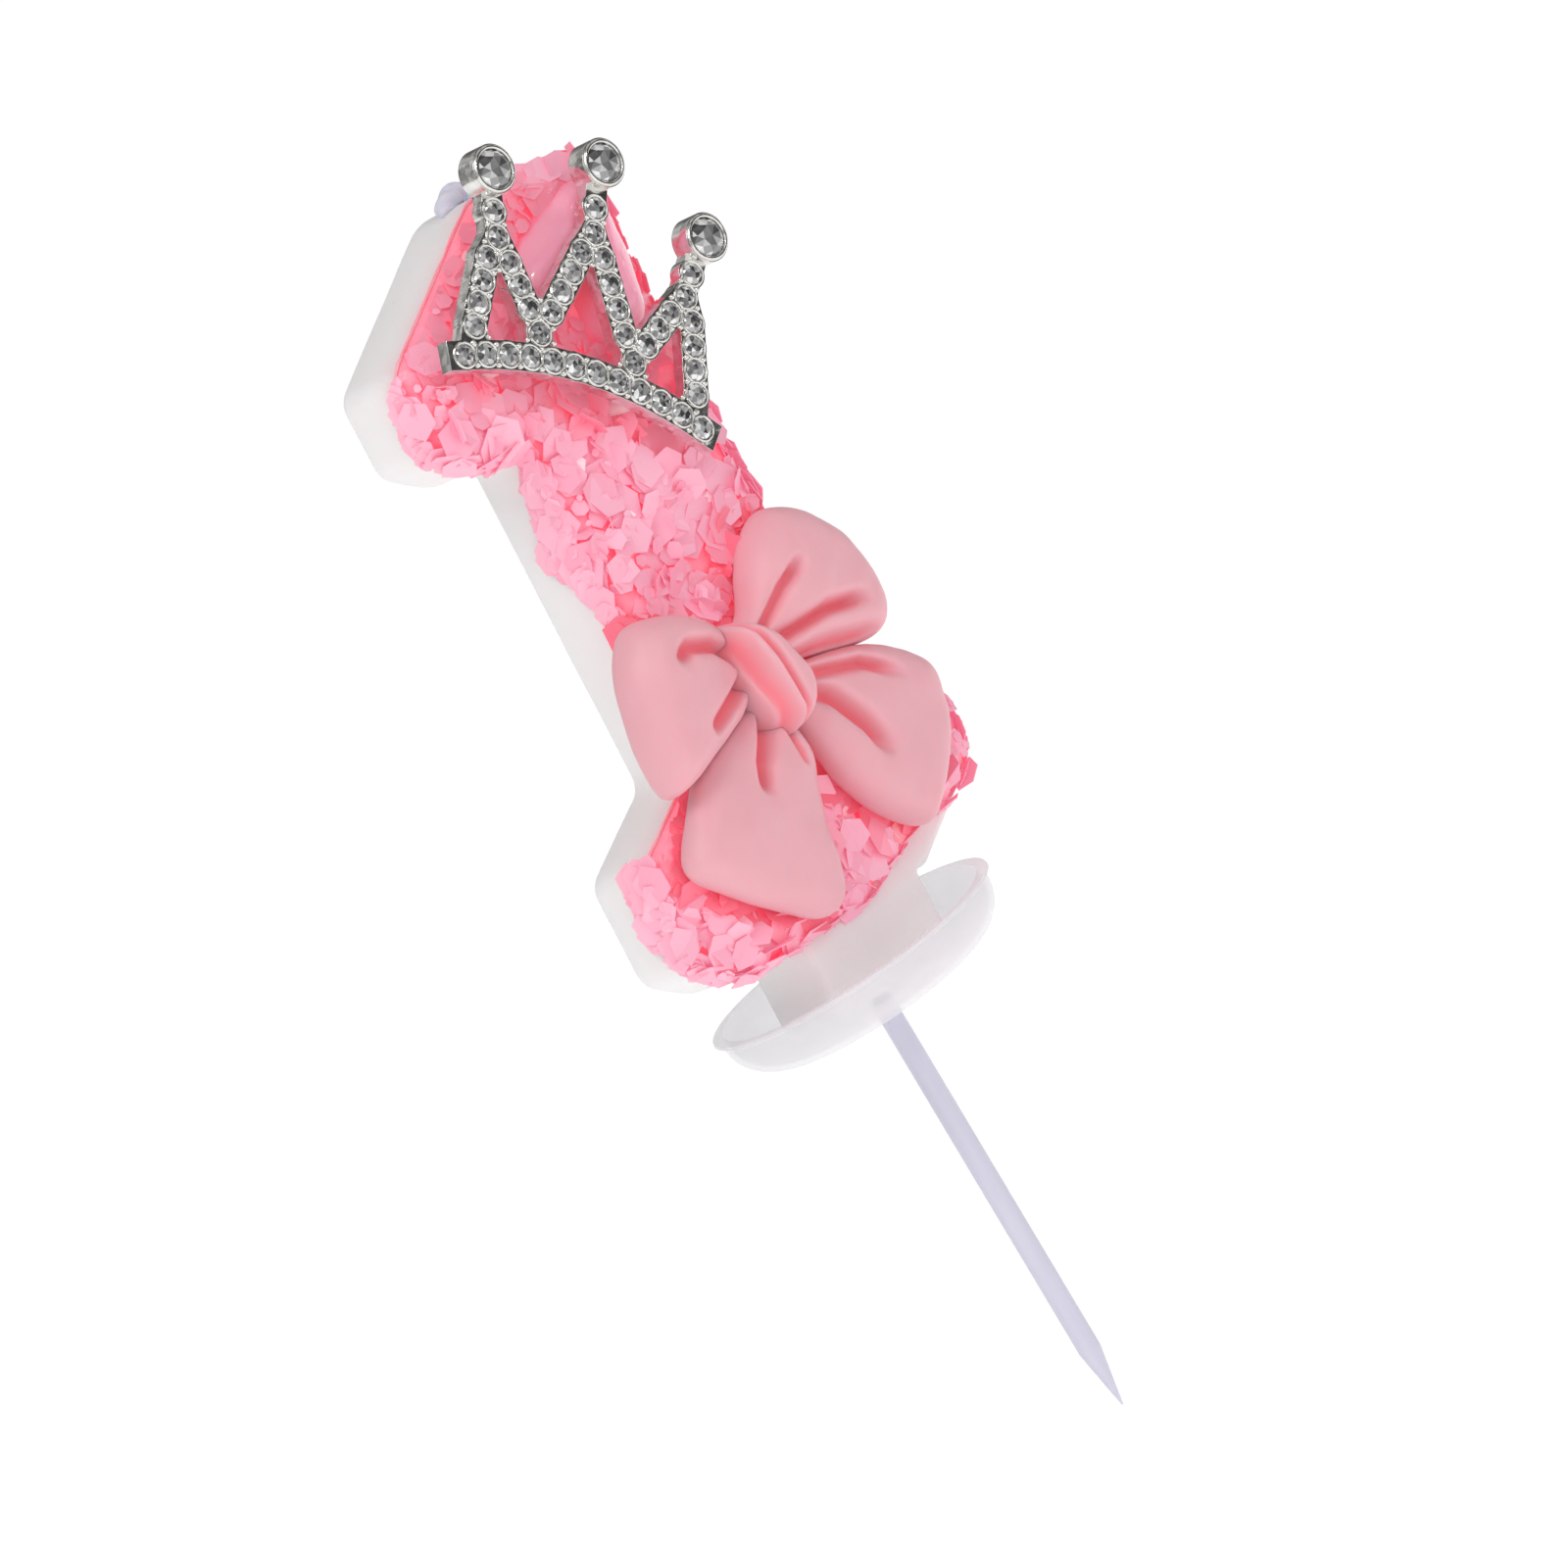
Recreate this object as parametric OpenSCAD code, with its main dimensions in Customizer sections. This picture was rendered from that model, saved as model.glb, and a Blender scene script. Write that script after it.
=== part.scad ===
// Numeral 1 birthday candle: a wax numeral coated with hexagonal flakes, with a bow, a heart and a
// stone-set crown glued on its face, standing in a drip dish on a plastic stake.
// +Z runs up the stake. The origin is at the stake's shoulder, on its axis, under the dish.
// +X is to the viewer's right and the decorated face looks along -Y.

/* [Numeral] */
// Height of the numeral slab, from the underside of its foot to its top
numeral_h = 66.5; // [55:0.5:80]
// Thickness of the slab and of the neck, front to back
numeral_t = 8.2; // [6.8:0.1:10]
// Width of the upright stem
stem_w = 18.3; // [15.2:0.1:22]
// How far the flag at the top left stands out from the stem
flag_out = 9.1; // [7.5:0.1:11]
// Height of the flag's vertical end, with its lower corner
flag_end_h = 9.8; // [8:0.1:12]
// Drop of the flag's sloping top
flag_drop = 9.8; // [8:0.1:12]
// Length of the flat stretch of the numeral's top
top_flat = 11.8; // [9.8:0.1:14.2]
// How far the foot stands out from the stem, each side
foot_out = 9.2; // [7.6:0.1:11]
// Height of the foot's vertical ends
foot_end_h = 12.0; // [10:0.1:14.4]
// Rise of the foot's sloping shoulders
foot_rise = 5.1; // [4.2:0.1:6.2]
// Width of the cut lower corners of the flag and the foot
corner_w = 4.3; // [3.5:0.1:5.2]
// Height of the cut lower corners of the flag and the foot
corner_h = 2.6; // [2.1:0.1:3.2]
// Width of the foot's lower right corner, which is cut more
far_corner_w = 8.5; // [7.1:0.1:10]
// Height of the foot's lower right corner cut
far_corner_h = 5.0; // [4.2:0.1:6]
// Width of the neck that stands in the dish
neck_w = 14.5; // [12:0.1:17]
// Bare height of the neck, from the dish floor to the foot
neck_h = 7.3; // [6:0.1:9]
// Lean of the numeral to the right, against the stake, in degrees
lean = 4.4; // [0:0.1:6]

/* [Wick] */
// Radius of the wick
wick_r = 0.65; // [0.5:0.05:0.8]
// Length of wick folded over on the top
wick_fold = 3.2; // [2.6:0.1:3.9]
// Depth of wax between the wick's lower end and the stake's tang
wick_foot = 3; // [2:0.5:5]

/* [Flake coat] */
// Thickness of the clear glue coat on the face
coat_t = 1.2; // [1:0.1:1.5]
// How far the coat wraps over the edge onto the side walls
coat_wrap = 2.2; // [1.8:0.1:2.7]
// Thickness of the coat on the side walls
coat_side = 0.6; // [0.5:0.05:0.8]
// Thickness of a flake
flake_t = 0.2; // [0.15:0.01:0.24]
// Corner radius of a large flake
large_r = 1.3; // [1.1:0.05:1.45]
// Corner radius of a medium flake
medium_r = 0.9; // [0.75:0.05:1.05]
// Corner radius of a small flake
small_r = 0.55; // [0.45:0.05:0.66]
// Distance between large flakes
flake_pitch = 4.3; // [4.2:0.1:5.2]

/* [Crown] */
// Distance between neighbouring small stones
pitch = 2.2; // [2.14:0.02:2.5]
// Radius of a small stone
stone_r = 0.95; // [0.79:0.01:1]
// Radius of a finial stone
finial_stone_r = 1.65; // [1.4:0.05:1.8]
// Outer radius of a finial cup
finial_r = 2.15; // [2:0.05:2.5]
// Thickness of the crown's plate
crown_t = 1.3; // [1.1:0.1:1.6]
// Depth of a finial cup
finial_t = 2.1; // [1.8:0.1:2.4]
// Radius of the arched base, along its row of stones
base_arc_r = 36.7; // [33:0.1:44]
// Height of the middle finial over the ends of the base row
middle_h = 20.0; // [19.4:0.1:21.4]
// Height of the side finials over the ends of the base row
side_h = 16.4; // [16.1:0.1:17]
// Turn of the crown to the right, in the face, in degrees
crown_turn = 38.2; // [35:0.2:42]
// Clear height between the wax face and the crown's back
crown_stand = 4.15; // [4.0:0.05:5]

/* [Heart] */
// Width of the heart
heart_w = 14.8; // [12.4:0.1:15.6]
// Length of the heart, from its point to its lobes
heart_l = 15.2; // [13.6:0.1:17]
// Thickness of the heart
heart_t = 4.0; // [3.3:0.1:4.05]

/* [Bow] */
// Half width of the bow's loops
bow_half_w = 16.2; // [13.5:0.1:19]
// Height of the loops over the knot's middle
loop_h = 10.6; // [8.8:0.1:12.6]
// Length of the tails under the knot's middle
tail_h = 19.2; // [16:0.1:20.4]
// Thickness of the loops
loop_t = 5.2; // [4.3:0.1:6.2]
// Thickness of the tails
tail_t = 3.8; // [3.2:0.1:4.5]
// Thickness of the knot
knot_t = 6.6; // [5.6:0.1:7.9]
// Turn of the bow to the left, in the face, in degrees
bow_turn = 14; // [8:0.5:18]

/* [Dish and stake] */
// Outer radius of the dish's lip
dish_r = 13.7; // [11.5:0.1:16.4]
// Depth of the dish, from its underside to its lip
dish_h = 4.8; // [4.2:0.1:5.7]
// Radius of the dish's flat underside
dish_flat_r = 8.9; // [8:0.1:10.6]
// Wall thickness of the dish
dish_wall = 0.8; // [0.65:0.05:1]
// Tilt of the dish, right side up, in degrees
dish_tilt = 4.1; // [0:0.1:5]
// Radius of the stake
stake_r = 1.0; // [0.85:0.05:1.2]
// Length of the stake under the dish
stake_l = 39.7; // [33:0.1:48]
// Length of the stake's point
stake_point = 5.4; // [4.5:0.1:6.5]
// Length of the tang that holds the wax
tang_l = 11; // [9:0.5:13]

/* [Hidden] */

// Gap between surfaces that are glued or pushed together
seat = 0.03;
// Step that makes a cut run clear of the face it starts from
over = 0.5;

half_t = numeral_t / 2;
half_stem = stem_w / 2;
half_foot = half_stem + foot_out;
dish_lift = (stake_r + 0.6) * tan(dish_tilt) + seat;
floor_z = dish_lift + dish_wall;
// Height at which the leaning numeral's axis crosses the stake's axis
lean_z = floor_z + neck_h - 1.3;
foot_z = floor_z + neck_h;
top_z = foot_z + numeral_h;
flag_top_z = top_z - flag_drop;
flag_z = flag_top_z - flag_end_h;
shoulder_z = foot_z + foot_end_h;
stem_z = shoulder_z + foot_rise;
tang_r = 0.7 * stake_r;
stake_bore_r = tang_r + seat;

coat_face = half_t + coat_t;
flake_face = coat_face + flake_t;
crown_back = half_t + crown_stand;

// Where the crown's base row is centred, from the numeral's top and axis
crown_x = -5.6;
crown_z = top_z - 18.05;
// The heart's point
heart_x = 8.2;
heart_z = top_z - 2.3;
// The middle of the bow's knot
bow_x = -1.3;
bow_z = foot_z + 20.9;
bow_back = flake_face + 0.6;

// ---- shared shapes ----

// Leans what is on the numeral, about the point where its axis crosses the stake's
module leaned() {
    translate([0, 0, lean_z]) rotate([0, lean, 0]) translate([0, 0, -lean_z]) children();
}

// Stands a plan drawn in X and Y up on the numeral's face, depth mm in front of the middle plane
module on_face(x, z, depth, turn = 0) {
    leaned() translate([x, -depth, z]) rotate([0, turn, 0]) rotate([90, 0, 0]) children();
}

// Corners of the numeral slab's outline, in X and Z, from the foot's left end round to its right end
slab_corners = [
    [-half_foot + corner_w, foot_z], [-half_foot, foot_z + corner_h],
    [-half_foot, shoulder_z], [-half_stem, stem_z],
    [-half_stem, flag_z], [-half_stem - flag_out + corner_w, flag_z],
    [-half_stem - flag_out, flag_z + corner_h], [-half_stem - flag_out, flag_top_z],
    [half_stem - top_flat, top_z], [half_stem, top_z],
    [half_stem, stem_z], [half_foot, shoulder_z],
    [half_foot, foot_z + far_corner_h], [half_foot - far_corner_w, foot_z]
];
// Corners of the neck's outline, which runs down past the dish floor
neck_corners = [
    [neck_w / 2, foot_z], [neck_w / 2, foot_z - neck_h - 3],
    [-neck_w / 2, foot_z - neck_h - 3], [-neck_w / 2, foot_z]
];

// The slab and its neck, uncut
module wax_blank() {
    leaned() translate([0, half_t, 0]) rotate([90, 0, 0])
        linear_extrude(height = numeral_t) polygon(concat(slab_corners, neck_corners));
}

// A flat-based dome of radius r and height h, for blending into lobes
module dome(r, h) {
    steps = 6;
    profile = [for (i = [0:steps]) [r * cos(90 * i / steps), h * (0.3 + 0.7 * sin(90 * i / steps))]];
    rotate_extrude($fn = 28) polygon(concat([[0, 0], [r, 0]], profile));
}

// ---- wax, wick ----

module neck_floor_cut() {
    translate([0, 0, dish_lift]) rotate([0, -dish_tilt, 0])
        translate([-neck_w, -neck_w, dish_wall - 10]) cube([2 * neck_w, 2 * neck_w, 10]);
}

module wax_numeral() {
    color("whitesmoke") difference() {
        wax_blank();
        neck_floor_cut();
        translate([0, 0, -over]) cylinder(h = tang_l + over + seat, r = stake_bore_r, $fn = 48);
        leaned() translate([0, 0, wick_bottom()])
            cylinder(h = top_z - wick_bottom() + over, r = wick_r + seat, $fn = 48);
    }
}

function wick_bottom() = tang_l + wick_foot;

module wick() {
    fold_z = top_z + wick_r + seat;
    color("ivory") leaned() {
        translate([0, 0, wick_bottom()]) cylinder(h = fold_z - wick_bottom(), r = wick_r, $fn = 48);
        translate([0, 0, fold_z]) sphere(r = wick_r, $fn = 48);
        translate([0, 0, fold_z]) rotate([0, -90, 0]) cylinder(h = wick_fold, r = wick_r, $fn = 48);
    }
}

// ---- glue coat and flakes ----

// The clear coat is a cap over the slab's face that wraps round its edges
module glue_coat() {
    color("lightpink") difference() {
        leaned() translate([0, coat_wrap - half_t, 0]) rotate([90, 0, 0])
            linear_extrude(height = coat_wrap + coat_t)
                offset(delta = coat_side) polygon(slab_corners);
        wax_blank();
        heart_body(seat, over);
    }
}

// True where a flake of radius m lies wholly on the slab's face
function on_slab(x, z, m) =
    (abs(x) < half_stem - m && z > foot_z + m && z < top_z - m - slope_top(x))
    || (x < 0 && x > -half_stem - flag_out + m && z > flag_z + m + slope_corner(x, flag_out)
        && z < top_z - m - slope_top(x))
    || (abs(x) < half_foot - m && z > foot_z + m + foot_corner(x)
        && z < stem_z - m - max(0, abs(x) - half_stem + m) * foot_rise / foot_out);
// Drop of the sloping top at x
function slope_top(x) =
    max(0, half_stem - top_flat - x) * flag_drop / (flag_out + stem_w - top_flat);
// Rise of a cut corner at x on an arm that stands out from the stem
function slope_corner(x, out) = max(0, corner_w - half_stem - out - x) * corner_h / corner_w;
// Rise of the foot's cut corner at x, on either side
function foot_corner(x) =
    x < 0 ? slope_corner(x, foot_out) : max(0, far_corner_w - half_foot + x) * far_corner_h / far_corner_w;
// True clear of the heart
function off_heart(x, z, m) =
    norm([x - heart_mid()[0], z - heart_mid()[1]]) > 0.58 * heart_l + m;
function heart_mid() =
    [heart_x - 0.52 * heart_l * sin(crown_turn), heart_z - 0.52 * heart_l * cos(crown_turn)];

// Flakes of one size lie on every other point of a grid, each moved and turned a little
module flake_field(r, dx, dz, seed, share = [0, 1]) {
    cols = ceil(half_foot / flake_pitch) + 1;
    rows = ceil(numeral_h / flake_pitch) + 1;
    jitter = rands(-0.18, 0.18, 3 * (2 * cols + 1) * (rows + 1), seed);
    for (i = [-cols:cols], j = [0:rows]) {
        k = 3 * ((i + cols) * (rows + 1) + j);
        x = (i + dx) * flake_pitch + jitter[k];
        z = foot_z + (j + dz) * flake_pitch + jitter[k + 1];
        chosen = (i + cols + 3 * j) % share[1];
        if (chosen >= share[0] && on_slab(x, z, r) && off_heart(x, z, r))
            on_face(x, z, coat_face) rotate([0, 0, 300 * jitter[k + 2]])
                cylinder(h = flake_t, r = r, $fn = 6);
    }
}

module flakes_large() { color("pink") flake_field(large_r, 0.5, 0.5, 11); }
module flakes_medium() { color("hotpink") flake_field(medium_r, 0, 0, 12); }
module flakes_small() { color("lightpink") flake_field(small_r, 0.5, 0, 13); }
module flakes_pearl() { color("white") flake_field(small_r, 0, 0.5, 14, [5, 6]); }

// ---- heart ----

// The heart's two lobes, grown by g and carried lift mm below the wax face
module heart_body(g, lift) {
    lobe_r = 0.27 * heart_w;
    tip_r = 0.9;
    on_face(heart_x, heart_z, half_t - lift, crown_turn)
        for (side = [-1, 1])
            hull() {
                translate([side * (heart_w / 2 - lobe_r), lobe_r - heart_l, 0])
                    dome(lobe_r + g, heart_t + lift + g);
                translate([0, -tip_r, 0]) dome(tip_r + g, 0.5 * heart_t + lift + g);
            }
}

module heart() { color("palevioletred") heart_body(0, 0); }

// ---- bow ----

module bow_lobes() {
    loop_r = 0.22 * bow_half_w;
    tail_r = 0.17 * bow_half_w;
    hull() {
        translate([2.4, 0.6, 0]) dome(2.4, 0.8 * loop_t);
        translate([bow_half_w - 1.9 * loop_r, loop_h - loop_r, 0]) dome(loop_r, loop_t);
        translate([bow_half_w - loop_r, -0.2, 0]) dome(loop_r, loop_t);
    }
    hull() {
        translate([2.2, -3.2, 0]) dome(2.0, tail_t);
        translate([bow_half_w - 1.1 * tail_r, -0.5 * tail_h, 0]) dome(tail_r, tail_t);
        translate([0.46 * bow_half_w, tail_r - tail_h, 0]) dome(tail_r, tail_t);
    }
}

module bow() {
    color("lightpink") on_face(bow_x, bow_z, bow_back, -bow_turn) {
        bow_lobes();
        mirror([1, 0, 0]) bow_lobes();
        hull() {
            translate([0, 2.6, 0]) dome(2.7, knot_t);
            translate([0, -2.6, 0]) dome(2.7, knot_t);
        }
    }
}

// A pad of glue between the flakes and the bow's back
module bow_glue() {
    color("gainsboro") on_face(bow_x, bow_z, flake_face, 0)
        cylinder(h = bow_back - flake_face, r = 4.2, $fn = 48);
}

// ---- crown ----

// Places on the crown's plan: x to the right, y up, from the middle of the base row's ends
function arc_angle(i) = (i + 0.5) * pitch / base_arc_r * 180 / PI;
base_stones = 6;
arc_top = base_arc_r * (1 - cos(arc_angle(base_stones - 1)));
function arc_point(i) =
    [base_arc_r * sin(arc_angle(i)), base_arc_r * cos(arc_angle(i)) - base_arc_r + arc_top];
// n places spaced evenly from a to b
function along(a, b, n) = [for (i = [0:n - 1]) a + (b - a) * i / (n - 1)];

junction = [2.15 * pitch, 1.76 * pitch];
middle_finial = [0, middle_h];
middle_head = along([0, middle_h - 3.78], [0, middle_h - 3.78 - pitch], 2);
middle_leg = along(junction + [-0.47 * pitch, 0.98 * pitch], [0.49 * pitch, middle_h - 7.96], 4);
side_finial = [4.88 * pitch, side_h];
side_head = along(side_finial - [0.78, 3.25], side_finial - [1.27, 5.4], 2);
side_inner = along(side_finial - [2.64, 7.28], junction + [0.53 * pitch, 0.85 * pitch], 3);
side_outer = along(side_finial - [0.43, 7.47], arc_point(base_stones - 1) + [-0.75, 2.8], 4);

function mirrored(places) = [for (p = places) [-p[0], p[1]]];
side_stones = concat(side_head, side_inner, side_outer, [junction]);
middle_stones = concat(middle_head, middle_leg, mirrored(middle_leg));
row_stones = [for (i = [-base_stones:base_stones - 1]) arc_point(i)];
crown_stones = concat(row_stones, middle_stones, side_stones, mirrored(side_stones));

// Distance from a stone's centre to the plate's straight edge
rim = stone_r + 0.3;
// Radius of the collar of plate round a stone
collar_r = rim + 0.06;
stone_deep = 0.7;
table_h = 0.4;
// The base row's last stone, and how far its square end block runs past that stone's centre
row_end = arc_point(base_stones - 1);
row_block = 1.65;

module on_crown(lift = 0) {
    on_face(crown_x, crown_z, crown_back + lift, crown_turn) children();
}

// A straight bar of plate from a to b
module bar(a, b, w) {
    d = b - a;
    translate(a) rotate(atan2(d[1], d[0])) translate([0, -w / 2]) square([norm(d), w]);
}

module side_spike_bars() {
    bar(side_head[1], side_finial, 1.7 * rim);
    bar(side_outer[3] - [0, 1.9], side_outer[3], 2 * rim);
    bar(side_outer[3], side_outer[0], 2 * rim);
    bar(side_outer[0], side_head[1], 2 * rim);
    bar(side_inner[2], side_inner[0], 2 * rim);
    bar(side_inner[0], side_head[1], 2 * rim);
    bar(junction, side_inner[2], 1.6 * rim);
    bar(junction, middle_leg[0], 1.6 * rim);
    bar(middle_leg[0], middle_leg[3], 2 * rim);
    bar(middle_leg[3], middle_head[1], 2 * rim);
    bar(junction, [junction[0], 0.8 * pitch], 1.6 * rim);
}

// A step of length d on along the row, past its last stone
function row_step(d) = d / pitch * (row_end - arc_point(base_stones - 2));

// The bars and a collar round each stone
module crown_outline() {
    for (i = [-base_stones:base_stones - 2]) bar(arc_point(i), arc_point(i + 1), 2 * rim);
    for (flip = [0, 1]) mirror([flip, 0]) bar(row_end, row_end + row_step(row_block), 2 * rim);
    side_spike_bars();
    mirror([1, 0]) side_spike_bars();
    bar(middle_head[1], middle_finial, 1.7 * rim);
    for (p = crown_stones) translate(p) circle(r = collar_r, $fn = 32);
}

module at_each(places) {
    for (p = places) translate([p[0], p[1], 0]) children();
}

finials = [[-side_finial[0], side_finial[1]], middle_finial, side_finial];

module crown_frame() {
    color("silver") on_crown() difference() {
        union() {
            linear_extrude(height = crown_t) crown_outline();
            at_each(finials) cylinder(h = finial_t, r = finial_r, $fn = 48);
        }
        translate([0, 0, crown_t - stone_deep]) at_each(crown_stones)
            cylinder(h = stone_deep + over, r = stone_r + seat, $fn = 32);
        translate([0, 0, finial_t - stone_deep])
            at_each(finials) cylinder(h = stone_deep + over, r = finial_stone_r + seat, $fn = 48);
    }
}

// A cut stone: a straight girdle in the seat under a tapering crown with a flat table
module stone(r) {
    cylinder(h = stone_deep, r = r, $fn = 32);
    translate([0, 0, stone_deep]) cylinder(h = table_h * r / stone_r, r1 = r, r2 = 0.6 * r, $fn = 32);
}

module small_stones(places) {
    color("lightgray") on_crown(crown_t - stone_deep) at_each(places) stone(stone_r);
}

module finial_stone(i) {
    color("lightgray") on_crown(finial_t - stone_deep) at_each([finials[i]]) stone(finial_stone_r);
}

module base_row_stones() { small_stones(row_stones); }
module left_spike_stones() { small_stones(mirrored(side_stones)); }
module middle_spike_stones() { small_stones(middle_stones); }
module right_spike_stones() { small_stones(side_stones); }
module finial_stone_left() { finial_stone(0); }
module finial_stone_middle() { finial_stone(1); }
module finial_stone_right() { finial_stone(2); }

// Two dabs of glue carry the crown's base over the flakes
module crown_glue() {
    stand = crown_back - flake_face;
    color("gainsboro") on_crown(-stand)
        at_each([arc_point(-4), arc_point(2)]) cylinder(h = stand, r = rim - 0.1, $fn = 32);
}

// ---- dish and stake ----

// Quarter-ellipse wall from the flat underside to the lip, inset by w
function dish_wall_curve(w) = [for (a = [0:15:90])
    [dish_flat_r + (dish_r - lip_w - dish_flat_r - w) * sin(a),
     w + (dish_h - lip_t - 0.5 - w) * (1 - cos(a))]];
lip_w = 0.6;
lip_t = 0.5;

module drip_dish() {
    wall = dish_wall_curve(0);
    inside = dish_wall_curve(dish_wall);
    last = len(wall) - 1;
    profile = concat(
        [[0, 0]], wall,
        [[wall[last][0], dish_h - lip_t], [dish_r, dish_h - lip_t], [dish_r, dish_h],
         [inside[last][0], dish_h]],
        [for (i = [last:-1:0]) inside[i]],
        [[0, dish_wall]]);
    color("whitesmoke") difference() {
        translate([0, 0, dish_lift]) rotate([0, -dish_tilt, 0])
            rotate_extrude($fn = 96) polygon(profile);
        translate([0, 0, -dish_h]) cylinder(h = 3 * dish_h, r = stake_bore_r, $fn = 48);
    }
}

module stake() {
    color("lavender") {
        cylinder(h = tang_l, r = tang_r, $fn = 48);
        translate([0, 0, stake_point - stake_l])
            cylinder(h = stake_l - stake_point, r = stake_r, $fn = 48);
        translate([0, 0, -stake_l]) cylinder(h = stake_point, r1 = 0.08, r2 = stake_r, $fn = 48);
    }
}

wax_numeral();
wick();
glue_coat();
flakes_large();
flakes_medium();
flakes_small();
flakes_pearl();
heart();
bow();
bow_glue();
crown_frame();
crown_glue();
finial_stone_left();
finial_stone_middle();
finial_stone_right();
base_row_stones();
left_spike_stones();
middle_spike_stones();
right_spike_stones();
drip_dish();
stake();
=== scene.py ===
"""Number birthday candle, numeral 1: frosted wax with a flaked face, crown, heart, bow, dish and stake."""

import bmesh
import bpy
import numpy as np
from mathutils import Matrix, Vector


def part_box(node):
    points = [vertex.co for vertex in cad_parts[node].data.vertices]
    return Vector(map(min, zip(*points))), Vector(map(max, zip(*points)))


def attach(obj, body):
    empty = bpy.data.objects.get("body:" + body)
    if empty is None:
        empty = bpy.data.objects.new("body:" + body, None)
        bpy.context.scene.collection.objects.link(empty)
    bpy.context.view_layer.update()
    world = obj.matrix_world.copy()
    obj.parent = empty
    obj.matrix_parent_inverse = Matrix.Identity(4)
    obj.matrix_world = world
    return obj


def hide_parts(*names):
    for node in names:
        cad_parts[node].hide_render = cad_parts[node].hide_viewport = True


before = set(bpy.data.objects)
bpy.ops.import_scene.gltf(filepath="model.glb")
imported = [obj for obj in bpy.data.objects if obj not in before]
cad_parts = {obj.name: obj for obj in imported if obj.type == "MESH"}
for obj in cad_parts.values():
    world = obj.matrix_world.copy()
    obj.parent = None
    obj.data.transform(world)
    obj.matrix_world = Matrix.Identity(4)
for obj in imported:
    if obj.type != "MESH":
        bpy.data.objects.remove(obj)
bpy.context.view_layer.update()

# ---- sizes, in mm, as the CAD has them ----

MM = 0.001
SEAT = 0.03
LEAN = np.radians(4.4)
NUMERAL_H, HALF_T = 66.5, 4.1
HALF_STEM, HALF_FOOT = 9.15, 18.35
FLAG_OUT, FLAG_DROP, FLAG_END_H, TOP_FLAT = 9.1, 9.8, 9.8, 11.8
FOOT_END_H, FOOT_RISE = 12.0, 5.1
CORNER_W, CORNER_H = 4.3, 2.6
FAR_CORNER_W, FAR_CORNER_H = 8.5, 5.0
NECK_W, NECK_H = 14.5, 7.3
EDGE_CUT = 1.3
COAT_T = 1.2
STAKE_R = 1.0
DISH_TILT = np.radians(4.1)
DISH_WALL = 0.8
DISH_LIFT = (STAKE_R + 0.6) * np.tan(DISH_TILT) + SEAT
DISH_R, DISH_H, DISH_FLAT_R = 13.7, 4.8, 8.9
FLOOR_Z = DISH_LIFT + DISH_WALL
FOOT_Z = FLOOR_Z + NECK_H
# Where the leaning numeral's axis crosses the stake's
LEAN_Z = FOOT_Z - 1.3
TOP_Z = FOOT_Z + NUMERAL_H
FLAG_TOP_Z = TOP_Z - FLAG_DROP
FLAG_Z = FLAG_TOP_Z - FLAG_END_H
SHOULDER_Z = FOOT_Z + FOOT_END_H
STEM_Z = SHOULDER_Z + FOOT_RISE
COAT_FACE = HALF_T + COAT_T

CROWN_X, CROWN_Z = -5.6, TOP_Z - 18.05
CROWN_BACK, CROWN_T, FINIAL_T = 8.25, 1.3, 2.1
CROWN_TURN = np.radians(38.2)
PITCH, STONE_R, BASE_ARC_R = 2.2, 0.95, 36.7
MIDDLE_H, SIDE_H = 20.0, 16.4
FINIAL_STONE_R = 1.65
HEART_X, HEART_Z, HEART_T = 8.2, TOP_Z - 2.3, 4.0
BOW_X, BOW_Z, BOW_BACK = -1.3, FOOT_Z + 20.9, 6.1
BOW_TURN = np.radians(-14.0)

slab_corners = np.array([
    [-HALF_FOOT + CORNER_W, FOOT_Z], [-HALF_FOOT, FOOT_Z + CORNER_H],
    [-HALF_FOOT, SHOULDER_Z], [-HALF_STEM, STEM_Z],
    [-HALF_STEM, FLAG_Z], [-HALF_STEM - FLAG_OUT + CORNER_W, FLAG_Z],
    [-HALF_STEM - FLAG_OUT, FLAG_Z + CORNER_H], [-HALF_STEM - FLAG_OUT, FLAG_TOP_Z],
    [HALF_STEM - TOP_FLAT, TOP_Z], [HALF_STEM, TOP_Z],
    [HALF_STEM, STEM_Z], [HALF_FOOT, SHOULDER_Z],
    [HALF_FOOT, FOOT_Z + FAR_CORNER_H], [HALF_FOOT - FAR_CORNER_W, FOOT_Z],
])
# The casting's right end is a little narrower than the plain outline
slab_corners[[11, 12, 13], 0] -= [0.7, 0.9, 1.3]
slab_corners[12, 1] += 0.4
# The coat stops short of the foot's lower edge on the right
coat_corners = np.vstack([slab_corners[:12], [
    [HALF_FOOT - 1.0, FOOT_Z + 5.8], [14.0, FOOT_Z + 4.2], [8.0, FOOT_Z + 3.3], [1.0, FOOT_Z + 0.4]]])
neck_corners = np.array([
    [NECK_W / 2, FOOT_Z], [NECK_W / 2, FLOOR_Z + SEAT],
    [-NECK_W / 2, FLOOR_Z + SEAT], [-NECK_W / 2, FOOT_Z],
])

# ---- places ----


def leaned(points):
    """Turns points by the numeral's lean about the level where its axis crosses the stake."""
    x, y, z = np.moveaxis(points, -1, 0)
    c, s = np.cos(LEAN), np.sin(LEAN)
    up = z - LEAN_Z
    return np.stack([x * c + up * s, y, LEAN_Z - x * s + up * c], -1)


def stood(plan, depth):
    """Places (x, z) stood up, depth mm in front of the numeral's middle plane."""
    return np.stack([plan[..., 0], np.broadcast_to(-depth, plan.shape[:-1]), plan[..., 1]], -1)


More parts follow.
